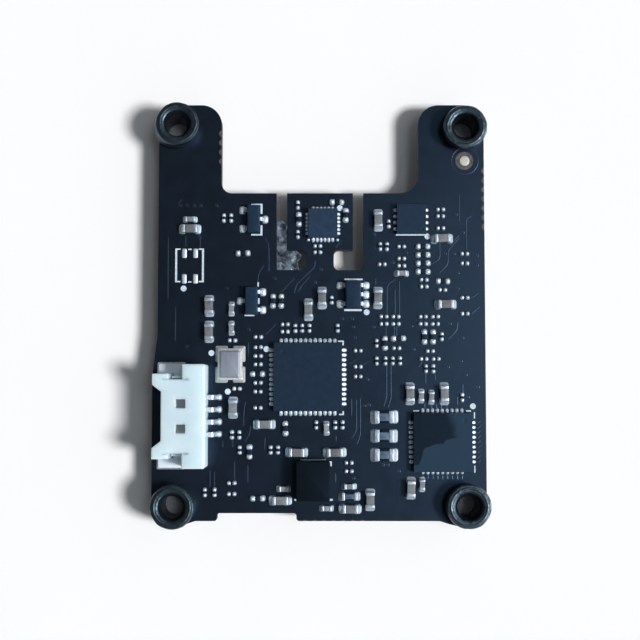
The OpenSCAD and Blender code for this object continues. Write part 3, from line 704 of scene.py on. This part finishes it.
def terminal_beads(soup, terminals, body, bulge, reach, front_reach):
    """A bead of solder at each terminal, from the side of the package out along its land."""
    centre = middle(body)
    for terminal in terminals:
        at = middle(terminal)
        turn = outward_turn(at, centre)
        axis = 0 if turn in (0, 180) else 1
        width = terminal.high[1 - axis] - terminal.low[1 - axis]
        face = (body.high[axis] - body.low[axis]) / 2
        outer = abs((terminal.high if turn in (0, 90) else terminal.low)[axis] - centre[axis])
        origin = (centre.x, at.y) if axis == 0 else (at.x, centre.y)
        share = front_reach if turn == 270 else reach
        tip = face + (outer - face + rng.uniform(0.02, 0.07)) * share
        bead(soup, spot(*origin, TOP, turn), face, tip, width * bulge)


def bead(soup, place, face, outer, width):
    """A bulging bead of solder from a terminal's land up the side of its package."""
    rings = []
    for t in shares(SOLDER_STEPS):
        swell = math.sqrt(max(0.0, 1 - t ** 1.6))
        y = width / 2 * (0.45 + 0.6 * swell)
        high_x = face + 0.015 + (outer - face) * swell
        rings.append(rounded_rect((face - 0.15, -y), (high_x, y), 0.48 * width * swell, BEAD_RISE * t))
    soup.loft(rings, place)


leadless("controller", MOULD, 0.3, (-1, 1), 1.2, 1.1, 1.1)
leadless("driver", PATCHY_MOULD, 0.26, (1, 1), 1.06, 1.0, 0.65)
leadless("motion_sensor", PALE_MOULD, 0.15, (1, 1), 1.25, 0.7, 0.9, ((-1, -1), (1, -1)))
leadless("transceiver", CLEAR_MOULD, 0.16, (1, -1), 0.9, 0.72, 0.72)


# Packages with bent leads

LEAD_T = 0.15
LEAD_W = 0.42
FOOT_HEEL = 0.16
FOOT_SOLDER = (0.26, 0.2, 0.26)


def moulded(soup, body):
    """A moulded block with drafted sides that meet at the lead line."""
    draft = 0.09
    mid = (body.low.z + body.high.z) / 2
    levels = (
        (draft + 0.03, body.low.z), (draft, body.low.z + 0.03), (0.0, mid - 0.05), (0.0, mid + 0.06),
        (draft, body.high.z - 0.03), (draft + 0.03, body.high.z),
    )
    soup.loft([inset_rect(body.low, body.high, inset, 0.05, z) for inset, z in levels])


def bent_lead(soup, place, face, outer, height):
    """A lead that leaves the moulding, steps down and lies on its land."""
    mid = height / 2
    foot = LEAD_T / 2 + 0.02
    path = rounded_path(
        [(face - 0.1, 0, mid), (face + 0.2, 0, mid), (face + 0.34, 0, foot), (outer, 0, foot)], 0.12, 5
    )
    soup.loft(sweep(path, strip_section(LEAD_W, LEAD_T, 0.03)), place)


def foot_solder(soup, place, heel, outer, spread_out=FOOT_SOLDER):
    """A lump of solder over the foot of a lead, with its reach ahead, reach to the sides and height."""
    toe, side, rise = spread_out
    half = (LEAD_W / 2 + side) * rng.uniform(0.95, 1.05)
    soup.loft(dome((heel, -half, 0.0), (outer + toe, half), rise, 0.24), place)


def leaded(name, packages, dies):
    """Gull-wing packages of one node, with their leads and the solder at their feet."""
    blocks = Soup()
    leads = Soup()
    joints = Soup()
    centres = [middle(die) for die in islands(dies)]
    bodies = [box for box in islands(packages) if box.high.z - box.low.z > 0.5]
    for body in bodies:
        moulded(blocks, body)
    for lead in islands(name + "_leads"):
        at = middle(lead)
        centre = min(centres, key=lambda c: (c - at).length)
        body = min(bodies, key=lambda b: (middle(b) - centre).length)
        turn = 0 if at.x > centre.x else 180
        face = (body.high.x - body.low.x) / 2
        outer = max(lead.high.x - centre.x, centre.x - lead.low.x)
        place = spot(centre.x, at.y, TOP, turn)
        bent_lead(leads, place, face, outer, body.high.z - TOP)
        foot_solder(joints, place, face + FOOT_HEEL, outer)
    piece(name + "_mouldings", blocks, PALE_MOULD, [packages])
    piece(name + "_bent_leads", leads, TIN, [name + "_leads"])
    piece(name + "_foot_solder", joints, SOLDER, (), 60)


leaded("transistor", "transistor_packages", "transistor_dies")
leaded("regulator", "regulator_package", "regulator_die")


# Crystal and inductor

TRAY_PROFILE = ((0.03, 0.0), (0.0, 0.04), (0.0, 0.36), (0.2, 0.5))
LID_PROFILE = ((0.02, 0.0), (0.0, 0.02), (0.16, 0.12), (0.2, 0.13))
CRYSTAL_CORNER = 0.18
CORNER_SOLDER_RISE = 0.42


def crystal():
    """A ceramic tray soldered at its four corners, with a welded lid that slopes down to its rim."""
    tray = island("crystal_base")
    rings = []
    for inset, rise in TRAY_PROFILE:
        step = Vector((inset, inset, 0))
        rings.append(notched_rect(tray.low + step, tray.high - step, CRYSTAL_CORNER, tray.low.z + rise))
    piece("crystal_tray", solid(rings), CRYSTAL_CERAMIC, ["crystal_base"], 20)
    lid = island("crystal_lid")
    levels = [(inset, lid.low.z + rise) for inset, rise in LID_PROFILE]
    rings = [inset_rect(lid.low, lid.high, inset, CRYSTAL_CORNER, z, 6) for inset, z in levels]
    piece("crystal_cover", solid(rings), LID, ["crystal_lid"], 15)
    corners = Soup()
    for land in islands("crystal_lands"):
        corners.loft(corner_solder(land, tray))
    piece("crystal_corner_solder", corners, CORNER_SOLDER, ["crystal_lands"], 60)


def notched_rect(low, high, notch, z, steps=6):
    """Points of a rectangle with a quarter-round bite out of each corner."""
    corners = ((high.x, high.y, 270), (low.x, high.y, 360), (low.x, low.y, 90), (high.x, low.y, 180))
    points = []
    for x, y, start in corners:
        for i in range(steps + 1):
            angle = math.radians(start - 90 * i / steps)
            points.append((x + notch * math.cos(angle), y + notch * math.sin(angle), z))
    return points


def corner_solder(land, tray):
    """Rings of solder from a corner land up the corner of a package."""
    rings = []
    for t in shares(SOLDER_STEPS):
        spread = (1 - t) ** 1.1
        low = [land.low.x, land.low.y]
        high = [land.high.x, land.high.y]
        for axis in (0, 1):
            if land.low[axis] < tray.low[axis]:
                low[axis] = tray.low[axis] - 0.01 + (land.low[axis] - tray.low[axis]) * spread
            else:
                high[axis] = tray.high[axis] + 0.01 + (land.high[axis] - tray.high[axis]) * spread
        rings.append(rounded_rect(low, high, 0.16, TOP + CORNER_SOLDER_RISE * t))
    return rings


def inductor():
    """A pressed block with rounded edges."""
    body = island("inductor_body")
    rings = pillow((*body.low.xy, TOP + 0.08), body.high, 0.1, 0.2)
    piece("inductor_block", solid(rings), FERRITE, ["inductor_body"])


crystal()
inductor()


# Rubber grommets

GROMMET_STEPS = 64
GROMMET_BORE = 1.1
GROMMET_NECK = 1.6
GROMMET_LIP = 0.3
CREST_STEPS = 27
GROMMET_LUMP = 0.04
GROMMET_RIM = 0.4
GROMMET_BLUNT = 0.24
GROMMET_SLOPE = 0.36
GROMMET_MOUTH = 1.42
GROMMET_FUNNEL = 2.0
GROMMET_RIPPLE = 0.010
GROMMET_PITCH = 0.27
GROMMET_LEAN = {
    "grommet_left_arm": (0.4, 0.1),
    "grommet_right_arm": (-0.1, -0.25),
    "grommet_left_tail": (0.1, 0.05),
    "grommet_right_tail": (0.0, 0.1),
}


def grommet_profile(height, bore, flange, neck):
    """Radius and height along a grommet's section, counterclockwise from the bore's foot.

    Its top slopes away from a blunt crest on both sides, in low ripples, and falls into the bore.
    """
    lip = GROMMET_LIP
    outline = [(bore, 0.12), (bore + 0.12, 0.0)]
    outline += [(flange - lip * (1 - math.sin(t)), lip * (1 - math.cos(t))) for t in quarter(6)]
    outline += [(flange, UNDER - 0.05), (flange - 0.05, UNDER), (neck, UNDER)]
    outline += [(neck, TOP), (flange - 0.06, TOP)]
    outline += [(flange, TOP + 0.1), (flange, height - 0.4), (flange - 0.03, height - 0.25)]
    crest = flange - GROMMET_RIM
    for i in range(CREST_STEPS + 1):
        radius = flange - 0.1 - (flange - bore - 0.12) * i / CREST_STEPS
        drop = GROMMET_SLOPE * (math.hypot(radius - crest, GROMMET_BLUNT) - GROMMET_BLUNT)
        drop += GROMMET_FUNNEL * max(0.0, GROMMET_MOUTH - radius)
        drop += GROMMET_RIPPLE * (1 - math.cos(2 * math.pi * (radius - crest) / GROMMET_PITCH))
        outline.append((radius, height - drop))
    outline.append((bore, outline[-1][1] - 0.2))
    return outline


def grommet(node):
    """A rubber grommet with a flared mouth and uneven skin, leaning a little above the board."""
    box = island(node)
    centre = middle(box)
    flange = (box.high.x - box.low.x) / 2
    outline = grommet_profile(box.high.z, GROMMET_BORE, flange, GROMMET_NECK)
    rings = []
    for step in range(GROMMET_STEPS):
        turn = -2 * math.pi * step / GROMMET_STEPS
        ring = []
        for radius, z in outline:
            point = Vector((centre.x + radius * math.cos(turn), centre.y + radius * math.sin(turn), z))
            waves = noise.noise(point * 0.9) + noise.noise(point * 2.7)
            lump = GROMMET_LUMP * waves if z > TOP + 0.3 else 0.0
            lean = Vector((*GROMMET_LEAN[node], 0)) * max(0.0, (z - TOP) / (box.high.z - TOP))
            ring.append(point + Vector((math.cos(turn), math.sin(turn), 0)) * lump + lean)
        rings.append(ring)
    piece(node + "_rubber", solid(rings, closed=True), RUBBER, [node], 50)


for node_name in GROMMET_LEAN:
    grommet(node_name)


# Side-entry socket

# Places along X: rear, shoulder, back of the flare, front of the tunnel, front of the flare
SOCKET_X = (-11.45, -13.75, -15.1, -15.85, -16.75)
# Half widths of the tunnel and of the flare, and of the lip at its tip and at its root
SOCKET_TUNNEL = 3.7
SOCKET_FLARE = 4.25
SOCKET_LIP = (3.15, 2.45)
# Half width, sill, roof, front and back of the cut that makes the mouth
SOCKET_MOUTH = (3.0, 0.6, 2.8, -18, -12.4)
# Place along X, distance from the middle, length and width of a window
SOCKET_WINDOW = (-14.35, 1.25, 0.95, 0.9)
# Ends along X, half width and depth of a slit
SOCKET_SLIT = (-15.75, -13.1, 0.06, 0.3)
SOCKET_CORNER = 0.22
SOCKET_EDGE = 0.16
CONTACT_COUNT = 4
CONTACT_Z = 1.7
CONTACT_W = 0.52
CONTACT_T = 0.24
CONTACT_FOOT = 0.14
CONTACT_KNEE = 0.66
CONTACT_SOLDER = (0.12, 0.13, 0.4)
PACKED_CONTACT_W = 0.4
TAB_FRONT = -16.5
TAB_FOOT = (4.3, 5.3)
WALL_FRONT = SOCKET_X[2] + 0.12
# Front, sides, base and top, edge and corner of a tab's foot, wall and bridge
TAB_PLATES = (
    (TAB_FRONT, TAB_FOOT, (0.06, 0.3), 0.06, 0.12),
    (WALL_FRONT, (3.8, 4.02), (0.1, 1.85), 0.05, 0.08),
    (WALL_FRONT, (3.82, 4.4), (0.06, 0.3), 0.06, 0.08),
)


def inset_outline(points, distance):
    """A counterclockwise outline moved inwards."""
    moved = []
    for before, here, after in zip(points[-1:] + points[:-1], points, points[1:] + points[:1]):
        a = (Vector(here) - Vector(before)).normalized()
        b = (Vector(after) - Vector(here)).normalized()
        first = Vector((-a.y, a.x))
        second = Vector((-b.y, b.x))
        moved.append(Vector(here) + (first + second) * distance / (1 + first.dot(second)))
    return moved


def socket_outline(half):
    """Plan of the housing about its middle, counterclockwise."""
    rear, shoulder, flare_back, tunnel_front, flare_front = SOCKET_X
    tip, root = SOCKET_LIP
    r = SOCKET_CORNER
    side = [(rear - r * (1 - math.cos(t)), half - r * (1 - math.sin(t))) for t in quarter(4)]
    side += [
        (shoulder, half), (shoulder, SOCKET_TUNNEL), (flare_back, SOCKET_TUNNEL),
        (flare_back, SOCKET_FLARE), (flare_front, SOCKET_FLARE), (flare_front, tip), (tunnel_front, root),
    ]
    return side + [(x, -y) for x, y in reversed(side)]


def slab(low, high):
    """Rings of a plain block, for cutting."""
    return [rounded_rect(low, high, 0.01, z, 1) for z in (low[2], high[2])]


def socket():
    """The moulded housing with its mouth, windows and slits, its contacts and its anchor tabs."""
    box = island("connector_housing")
    y = middle(box).y
    place = spot(0, y, TOP)
    height = box.high.z - TOP
    outline = socket_outline((box.high.y - box.low.y) / 2)
    levels = [(0.05, 0.0), (0.0, 0.06)]
    edge = SOCKET_EDGE
    levels += [(edge * (1 - math.cos(t)), height - edge * (1 - math.sin(t))) for t in quarter(4)]
    shell = solid([[(*p, z) for p in inset_outline(outline, inset)] for inset, z in levels], place)
    cuts = Soup()
    mouth, sill, roof, front, back = SOCKET_MOUTH
    cuts.loft(slab((front, -mouth, sill), (back, mouth, roof)), place)
    window_x, window_y, window_l, window_w = SOCKET_WINDOW
    for sign in (-1, 1):
        middle_y = sign * window_y
        low = (window_x, middle_y - window_w / 2, roof - 0.2)
        cuts.loft(slab(low, (window_x + window_l, middle_y + window_w / 2, height + 1)), place)
        slit_y = sign * SOCKET_TUNNEL
        x0, x1, half, depth = SOCKET_SLIT
        cuts.loft(slab((x0, slit_y - half, height - depth), (x1, slit_y + half, height + 1)), place)
    moulding = piece(
        "connector_moulding", carved(shell, cuts), NYLON, ["connector_housing"], 18
    )
    # The mouth's sill gets the painted-shade copy of the nylon
    moulding.data.materials.append(NYLON_PAINTED_SHADE)
    for face in moulding.data.polygons:
        inside = abs(face.center.z / MM - TOP - sill) < 0.05 and face.normal.z > 0.9
        face.material_index = int(inside)
    contacts(y)
    anchor_tabs(place)


def contacts(y):
    """Four formed contacts, with solder at their feet."""
    box = island("connector_contacts")
    pins = Soup()
    joints = Soup()
    pitch = (box.high.y - box.low.y - PACKED_CONTACT_W) / (CONTACT_COUNT - 1)
    knee = SOCKET_X[0] + CONTACT_KNEE
    bends = [(box.low.x, 0, CONTACT_Z), (knee, 0, CONTACT_Z)]
    bends += [(knee + 0.25, 0, CONTACT_FOOT), (box.high.x, 0, CONTACT_FOOT)]
    strip = sweep(rounded_path(bends, 0.2, 5), strip_section(CONTACT_W, CONTACT_T, 0.05))
    for i in range(CONTACT_COUNT):
        place = spot(0, y + (i - (CONTACT_COUNT - 1) / 2) * pitch, TOP)
        pins.loft(strip, place)
        foot_solder(joints, place, knee + 0.22, box.high.x, CONTACT_SOLDER)
    piece("connector_pins", pins, TIN, ["connector_contacts"])
    piece("connector_pin_solder", joints, SOLDER, (), 60)


def anchor_tabs(place):
    """Bent metal tabs beside the tunnel, soldered to the board."""
    metal = Soup()
    joints = Soup()
    back = SOCKET_X[1] - 0.05
    for sign in (-1, 1):
        for front, sides, (base, top), edge, corner in TAB_PLATES:
            y0, y1 = sorted(sign * y for y in sides)
            metal.loft(pillow((front, y0, base), (back, y1, top), edge, corner), place)
        y0, y1 = sorted(sign * y for y in TAB_FOOT)
        rings = []
        for t in shares(5):
            spread = (1 - t) ** 1.8
            low = (TAB_FRONT - 0.18 * spread, y0 - 0.16 * spread)
            high = (back + 0.02 * spread, y1 + 0.16 * spread)
            rings.append(rounded_rect(low, high, 0.15, 0.26 * t))
        joints.loft(rings, place)
    # The tabs take the paler copy of the tin that paints light into the housing's shade
    piece("connector_tabs", metal, PAINTED_LIGHT_TAB, ["connector_solder_tabs"])
    piece("connector_tab_solder", joints, SOLDER, (), 60)


socket()


# Sealant in the left cut

SEALANT_VOXEL = 0.07
SEALANT_SKIN = 0.4
SEALANT_RISE = 0.02
SEALANT_LUMP = 0.16
SEALANT_WAVES = 1.3


def sealant():
    """A lumpy fill of whitish sealant, in the space of its CAD solid."""
    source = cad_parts["slot_sealant"]
    obj = new_object("sealant_source", source.data.copy())
    modifier = obj.modifiers.new("Voxels", "REMESH")
    modifier.mode = "VOXEL"
    modifier.voxel_size = SEALANT_VOXEL * MM
    mesh = evaluated_mesh(obj)
    bpy.data.objects.remove(obj)
    for vertex in mesh.vertices:
        point = vertex.co / MM
        if point.z > TOP - SEALANT_SKIN:
            ridge = noise.noise(point * SEALANT_WAVES)
            vertex.co.z += (SEALANT_RISE + SEALANT_LUMP * ridge) * MM
    piece("slot_sealant_fill", mesh, SEALANT, ["slot_sealant"], 80)


sealant()


# Bare pads, traces and vias

TRACE_H = 0.009
TRACE_W = 0.22
TRACE_BEND = 0.4
FAN_W = 0.15
FAN_OUTS = (10.7, 11.4, 11.9, 12.4, 12.95)
FAN_OUT_Y = (-9.1, -9.6)
TICK_W = 0.2
TICK_H = 2.5 * TRACE_H
TICK_X = (16.1, 16.4)
DRIVER_COUNT = 9
DRIVER_PITCH = 0.5
DRIVER_FIRST = 1.0
SIGHTING_RING = (1.38, 0.2)
SIGHTING_CROWN = 0.015
PAD_CROWN = 0.07
PAD_CORNER = 0.14


def is_round(pad):
    """Whether a bare pad is the round sighting mark."""
    size = pad.high - pad.low
    return abs(size.x - size.y) < 0.05


def crowned(pad, radius, crown):
    """Rings of a pad with a soft crown above the mask."""
    levels = ((0.0, pad.low.z), (0.0, TOP), (0.05, TOP + 0.7 * crown), (0.14, TOP + crown))
    turned = is_round(pad)
    return [inset_rect(pad.low, pad.high, inset, radius - inset * turned, z, 6) for inset, z in levels]


def pads():
    """Tinned pads with a soft crown, and the flat round sighting mark."""
    tinned = Soup()
    sighting = Soup()
    for pad in islands("copper_pads"):
        if is_round(pad):
            sighting.loft(crowned(pad, (pad.high.x - pad.low.x) / 2, SIGHTING_CROWN))
        else:
            tinned.loft(crowned(pad, PAD_CORNER, PAD_CROWN))
    piece("tinned_pads", tinned, SOLDER, ["copper_pads"], 60)
    piece("sighting_dot", sighting, BARE_METAL, (), 60)


def run(x, y0, y1):
    """Ends of a straight track along Y."""
    return [(x, y0), (x, y1)]


TRACES = [
    run(-15.7, 8.1, 1.7), run(-14.9, 0.8, -2.6), run(-12.4, 8.1, 7.0), run(-13.9, 8.2, 7.1),
    [(-14.3, 12.05), (-14.7, 11.6)], [(-5.8, 5.15), (-6.35, 4.4), (-6.45, 3.3)],
    [(-5.7, 8.0), (-5.3, 7.25), (-5.3, 4.5)], [(-2.65, 3.85), (-4.0, 2.4)],
    [(-0.55, 5.65), (-0.55, 5.0), (-2.5, 3.15), (-2.65, 2.3)], [(-1.1, 4.0), (-1.95, 3.0), (-2.3, 2.4)],
    [(-4.5, -0.85), (-5.55, -1.95)], run(-7.4, -2.8, -4.1),
    [(-7.6, -8.9), (-7.8, -9.4), (-7.85, -11.3)], [(-7.15, -11.3), (-7.2, -12.2), (-7.7, -12.9)],
    run(-8.95, -12.7, -13.5), run(-9.95, -12.95, -13.5), [(-5.65, -12.6), (-5.7, -13.7)],
    run(-8.75, -15.0, -16.85), run(-7.4, -15.4, -17.1), run(-11.25, -15.9, -17.6),
    run(-10.8, -16.0, -17.6), run(14.4, 12.6, 9.7), [(15.65, 10.3), (15.1, 10.0), (15.1, 6.8)],
    [(14.35, 8.0), (13.2, 6.75), (13.2, 5.3), (12.3, 4.4)], [(14.35, 8.3), (13.4, 7.3)],
    [(12.35, 7.5), (12.35, 5.8), (11.4, 5.25)], [(7.8, 3.75), (6.9, 3.15), (6.85, 0.0)],
    run(7.7, 2.65, 0.0), run(8.15, 3.5, 0.0), run(6.75, -1.2, -2.6), run(7.6, -1.2, -2.6),
    run(7.85, -1.2, -2.6), [(16.3, 2.3), (15.6, 1.8)], [(16.4, 0.9), (15.6, 0.15)],
    [(14.15, -0.7), (14.05, -1.6), (13.1, -2.5)], [(2.25, 7.75), (1.6, 7.0)], run(5.7, 3.8, 3.15),
    [(6.8, -5.15), (6.8, -8.5), (6.5, -9.3)], [(7.25, -5.15), (7.25, -8.5), (6.95, -9.45)],
    run(3.2, -8.6, -10.3), [(3.7, -8.7), (3.7, -11.9), (3.2, -12.55)],
    [(4.1, -8.5), (4.1, -12.3), (3.75, -13.2)], [(5.05, -4.65), (4.4, -5.15)],
    [(3.8, -4.5), (3.1, -5.0)], run(10.8, -5.95, -7.0), [(11.75, -5.95), (11.8, -6.7)],
    [(10.45, -4.8), (10.1, -5.3)], run(14.6, -7.1, -8.0), run(14.05, -8.4, -9.2),
    run(1.6, -12.4, -12.9), run(1.55, -16.2, -17.1),
]
VIAS = [
    (-14.45, 11.4), (-13.75, 11.4), (-13.0, 11.4), (-12.35, 11.4), (-10.7, 11.4), (-7.35, -1.45),
    (-12.45, 8.1), (-9.6, 2.8), (-4.7, 3.8), (-13.7, -3.2), (14.8, 8.6), (14.1, 10.5), (13.8, 6.4),
    (12.9, 6.4), (16.2, 6.2), (16.2, 5.2), (5.6, 8.4), (5.8, 6.9), (14.2, 4.4), (14.2, 2.8),
    (13.35, -0.85), (9.4, -1.1), (5.5, -1.2), (3.4, -1.2), (3.3, -0.35), (2.3, -0.35), (14.65, -2.3),
    (7.5, 5.45), (8.9, 6.5), (0.1, 4.75), (-0.5, 3.4), (14.95, -6.1), (13.15, -5.3), (14.45, -4.7),
    (9.6, -3.5), (16.2, -7.35), (3.6, -2.3), (4.85, -6.6), (5.0, -9.2), (4.55, -9.3), (8.05, -15.95),
    (6.4, -15.3), (6.9, -15.3), (3.4, -16.65), (15.15, -8.4),
]


def trace(soup, points, width, height=TRACE_H):
    """A raised track with sloped flanks and rounded bends."""
    path = rounded_path([(*p, TOP) for p in points], TRACE_BEND)
    w = width / 2
    flank = 0.3 * width
    section = [(-w, -0.01), (w, -0.01), (w - flank, height), (flank - w, height)]
    soup.loft(sweep(path, section, up=Z_AXIS))


def ring_track(soup, centre, radius, width):
    """A raised ring."""
    steps = 48
    w = width / 2
    section = [(-w, -0.01), (w, -0.01), (0.5 * w, TRACE_H), (-0.5 * w, TRACE_H)]
    start = Vector((centre.x, centre.y, TOP))
    rings = []
    for i in range(steps):
        turn = -2 * math.pi * i / steps
        out = Vector((math.cos(turn), math.sin(turn), 0))
        rings.append([start + out * (radius + a) + Z_AXIS * b for a, b in section])
    soup.loft(rings, closed=True)


def via(soup, x, y, z, facing):
    """A plated hole under the mask: a low ring with a dimple. facing is 1 above and -1 below."""
    levels = ((-0.01, 0.21), (0.006, 0.17), (0.009, 0.12), (0.004, 0.08), (-0.003, 0.05))
    rings = [circle(x, y, r, z + facing * rise, 16) for rise, r in levels]
    if facing < 0:
        rings = [list(reversed(ring)) for ring in rings]
    soup.loft(rings)


def tracks():
    """All tracks and vias on both faces."""
    upper = Soup()
    for points in TRACES:
        trace(upper, points, TRACE_W)
    front = driver_box.low.y
    for i in range(DRIVER_COUNT):
        y = driver_box.high.y - DRIVER_FIRST - DRIVER_PITCH * i
        trace(upper, [(TICK_X[0], y - 0.1), (TICK_X[1], y + 0.2)], TICK_W, TICK_H)
        x = driver_box.low.x + DRIVER_FIRST + DRIVER_PITCH * i
        trace(upper, run(x, front - 0.4, front - 0.75), FAN_W)
    for x in FAN_OUTS:
        trace(upper, run(x, *FAN_OUT_Y), FAN_W)
    for x, y in VIAS:
        via(upper, x, y, TOP, 1)
    for pad in islands("copper_pads"):
        if is_round(pad):
            ring_track(upper, middle(pad), *SIGHTING_RING)
    piece("tracks_top", upper, MASK_ON_COPPER, (), 60)
    lower = Soup()
    for x, y in VIAS:
        via(lower, x, y, UNDER, -1)
    piece("vias_underside", lower, MASK_ON_COPPER, (), 60)


pads()
tracks()


# Stage: camera, floor and light

PHOTO_SIDE = 640
FOCAL_PX = 1115
SENSOR = 36.0
EYE = Vector((0.0, -7.503, 117.498)) * MM
TARGET = Vector((0.0, -0.5, 3.0)) * MM
SUN_AZIMUTH = -14
SUN_HEIGHT = 50
SUN_STRENGTH = 3.35
SUN_WIDTH = 14
PANEL_TOWARDS = Vector((0.30, 0.05, 0.95)).normalized()
PANEL = (3.4, 3.75, 4.1)
WALL_AWAY = (0.05, 0.054, 0.058)
WALL_NEAR = (0.42, 0.45, 0.48)
HORIZON = (0.94, 0.96, 0.97)
OVERHEAD = (0.05, 0.045, 0.04)
FLOOR_HALF = 3.0
FLOOR_DROP = 0.00002


def camera():
    """The photograph's view, nearly straight down."""
    data = bpy.data.cameras.new("camera")
    data.sensor_width = SENSOR
    data.lens = FOCAL_PX / PHOTO_SIDE * SENSOR
    data.clip_start = 0.001
    obj = new_object("camera", data)
    obj.location = EYE
    obj.rotation_euler = (TARGET - EYE).to_track_quat("-Z", "Y").to_euler()
    bpy.context.scene.camera = obj


def floor():
    """A large pale floor under the grommets."""
    half = FLOOR_HALF
    mesh = bpy.data.meshes.new("floor")
    corners = [(-half, -half, 0), (half, -half, 0), (half, half, 0), (-half, half, 0)]
    mesh.from_pydata(corners, [], [(0, 1, 2, 3)])
    paper = finish("floor_paper", ((0.955, 0.96, 0.965), (0.965, 0.968, 0.97)), 0.05, (0.85, 0.95))
    mesh.materials.append(paper)
    obj = new_object("floor", mesh)
    obj.location.z = -FLOOR_DROP


def sun():
    """A broad soft key light from the right."""
    data = bpy.data.lights.new("key", "SUN")
    data.energy = SUN_STRENGTH
    data.angle = math.radians(SUN_WIDTH)
    azimuth = math.radians(SUN_AZIMUTH)
    height = math.radians(SUN_HEIGHT)
    level = math.cos(height)
    towards = Vector((level * math.cos(azimuth), level * math.sin(azimuth), math.sin(height)))
    obj = new_object("key", data)
    obj.rotation_euler = towards.to_track_quat("Z", "Y").to_euler()


def sky():
    """A studio surround: brighter on the key's side, pale at the horizon and dim overhead.

    One cool panel hangs above and to the right.
    """
    world = bpy.data.worlds.new("studio")
    bpy.context.scene.world = world
    world.use_nodes = True
    tree = world.node_tree
    background = tree.nodes["Background"]
    coords = tree.nodes.new("ShaderNodeTexCoord").outputs["Generated"]
    azimuth = math.radians(SUN_AZIMUTH)
    key_side = along(tree, coords, (math.cos(azimuth), math.sin(azimuth), 0))
    walls = blend(tree, remap(tree, key_side, -0.7, 0.8), WALL_AWAY, WALL_NEAR)
    rise = along(tree, coords, Z_AXIS)
    walls = blend(tree, remap(tree, rise, 0.03, 0.16), HORIZON, walls)
    surround = blend(tree, remap(tree, rise, 0.45, 0.93), walls, OVERHEAD)
    panel = remap(tree, along(tree, coords, PANEL_TOWARDS), 0.985, 0.998)
    tree.links.new(blend(tree, panel, surround, PANEL), background.inputs["Color"])


camera()
floor()
sun()
sky()
bpy.context.scene.view_settings.view_transform = "Standard"
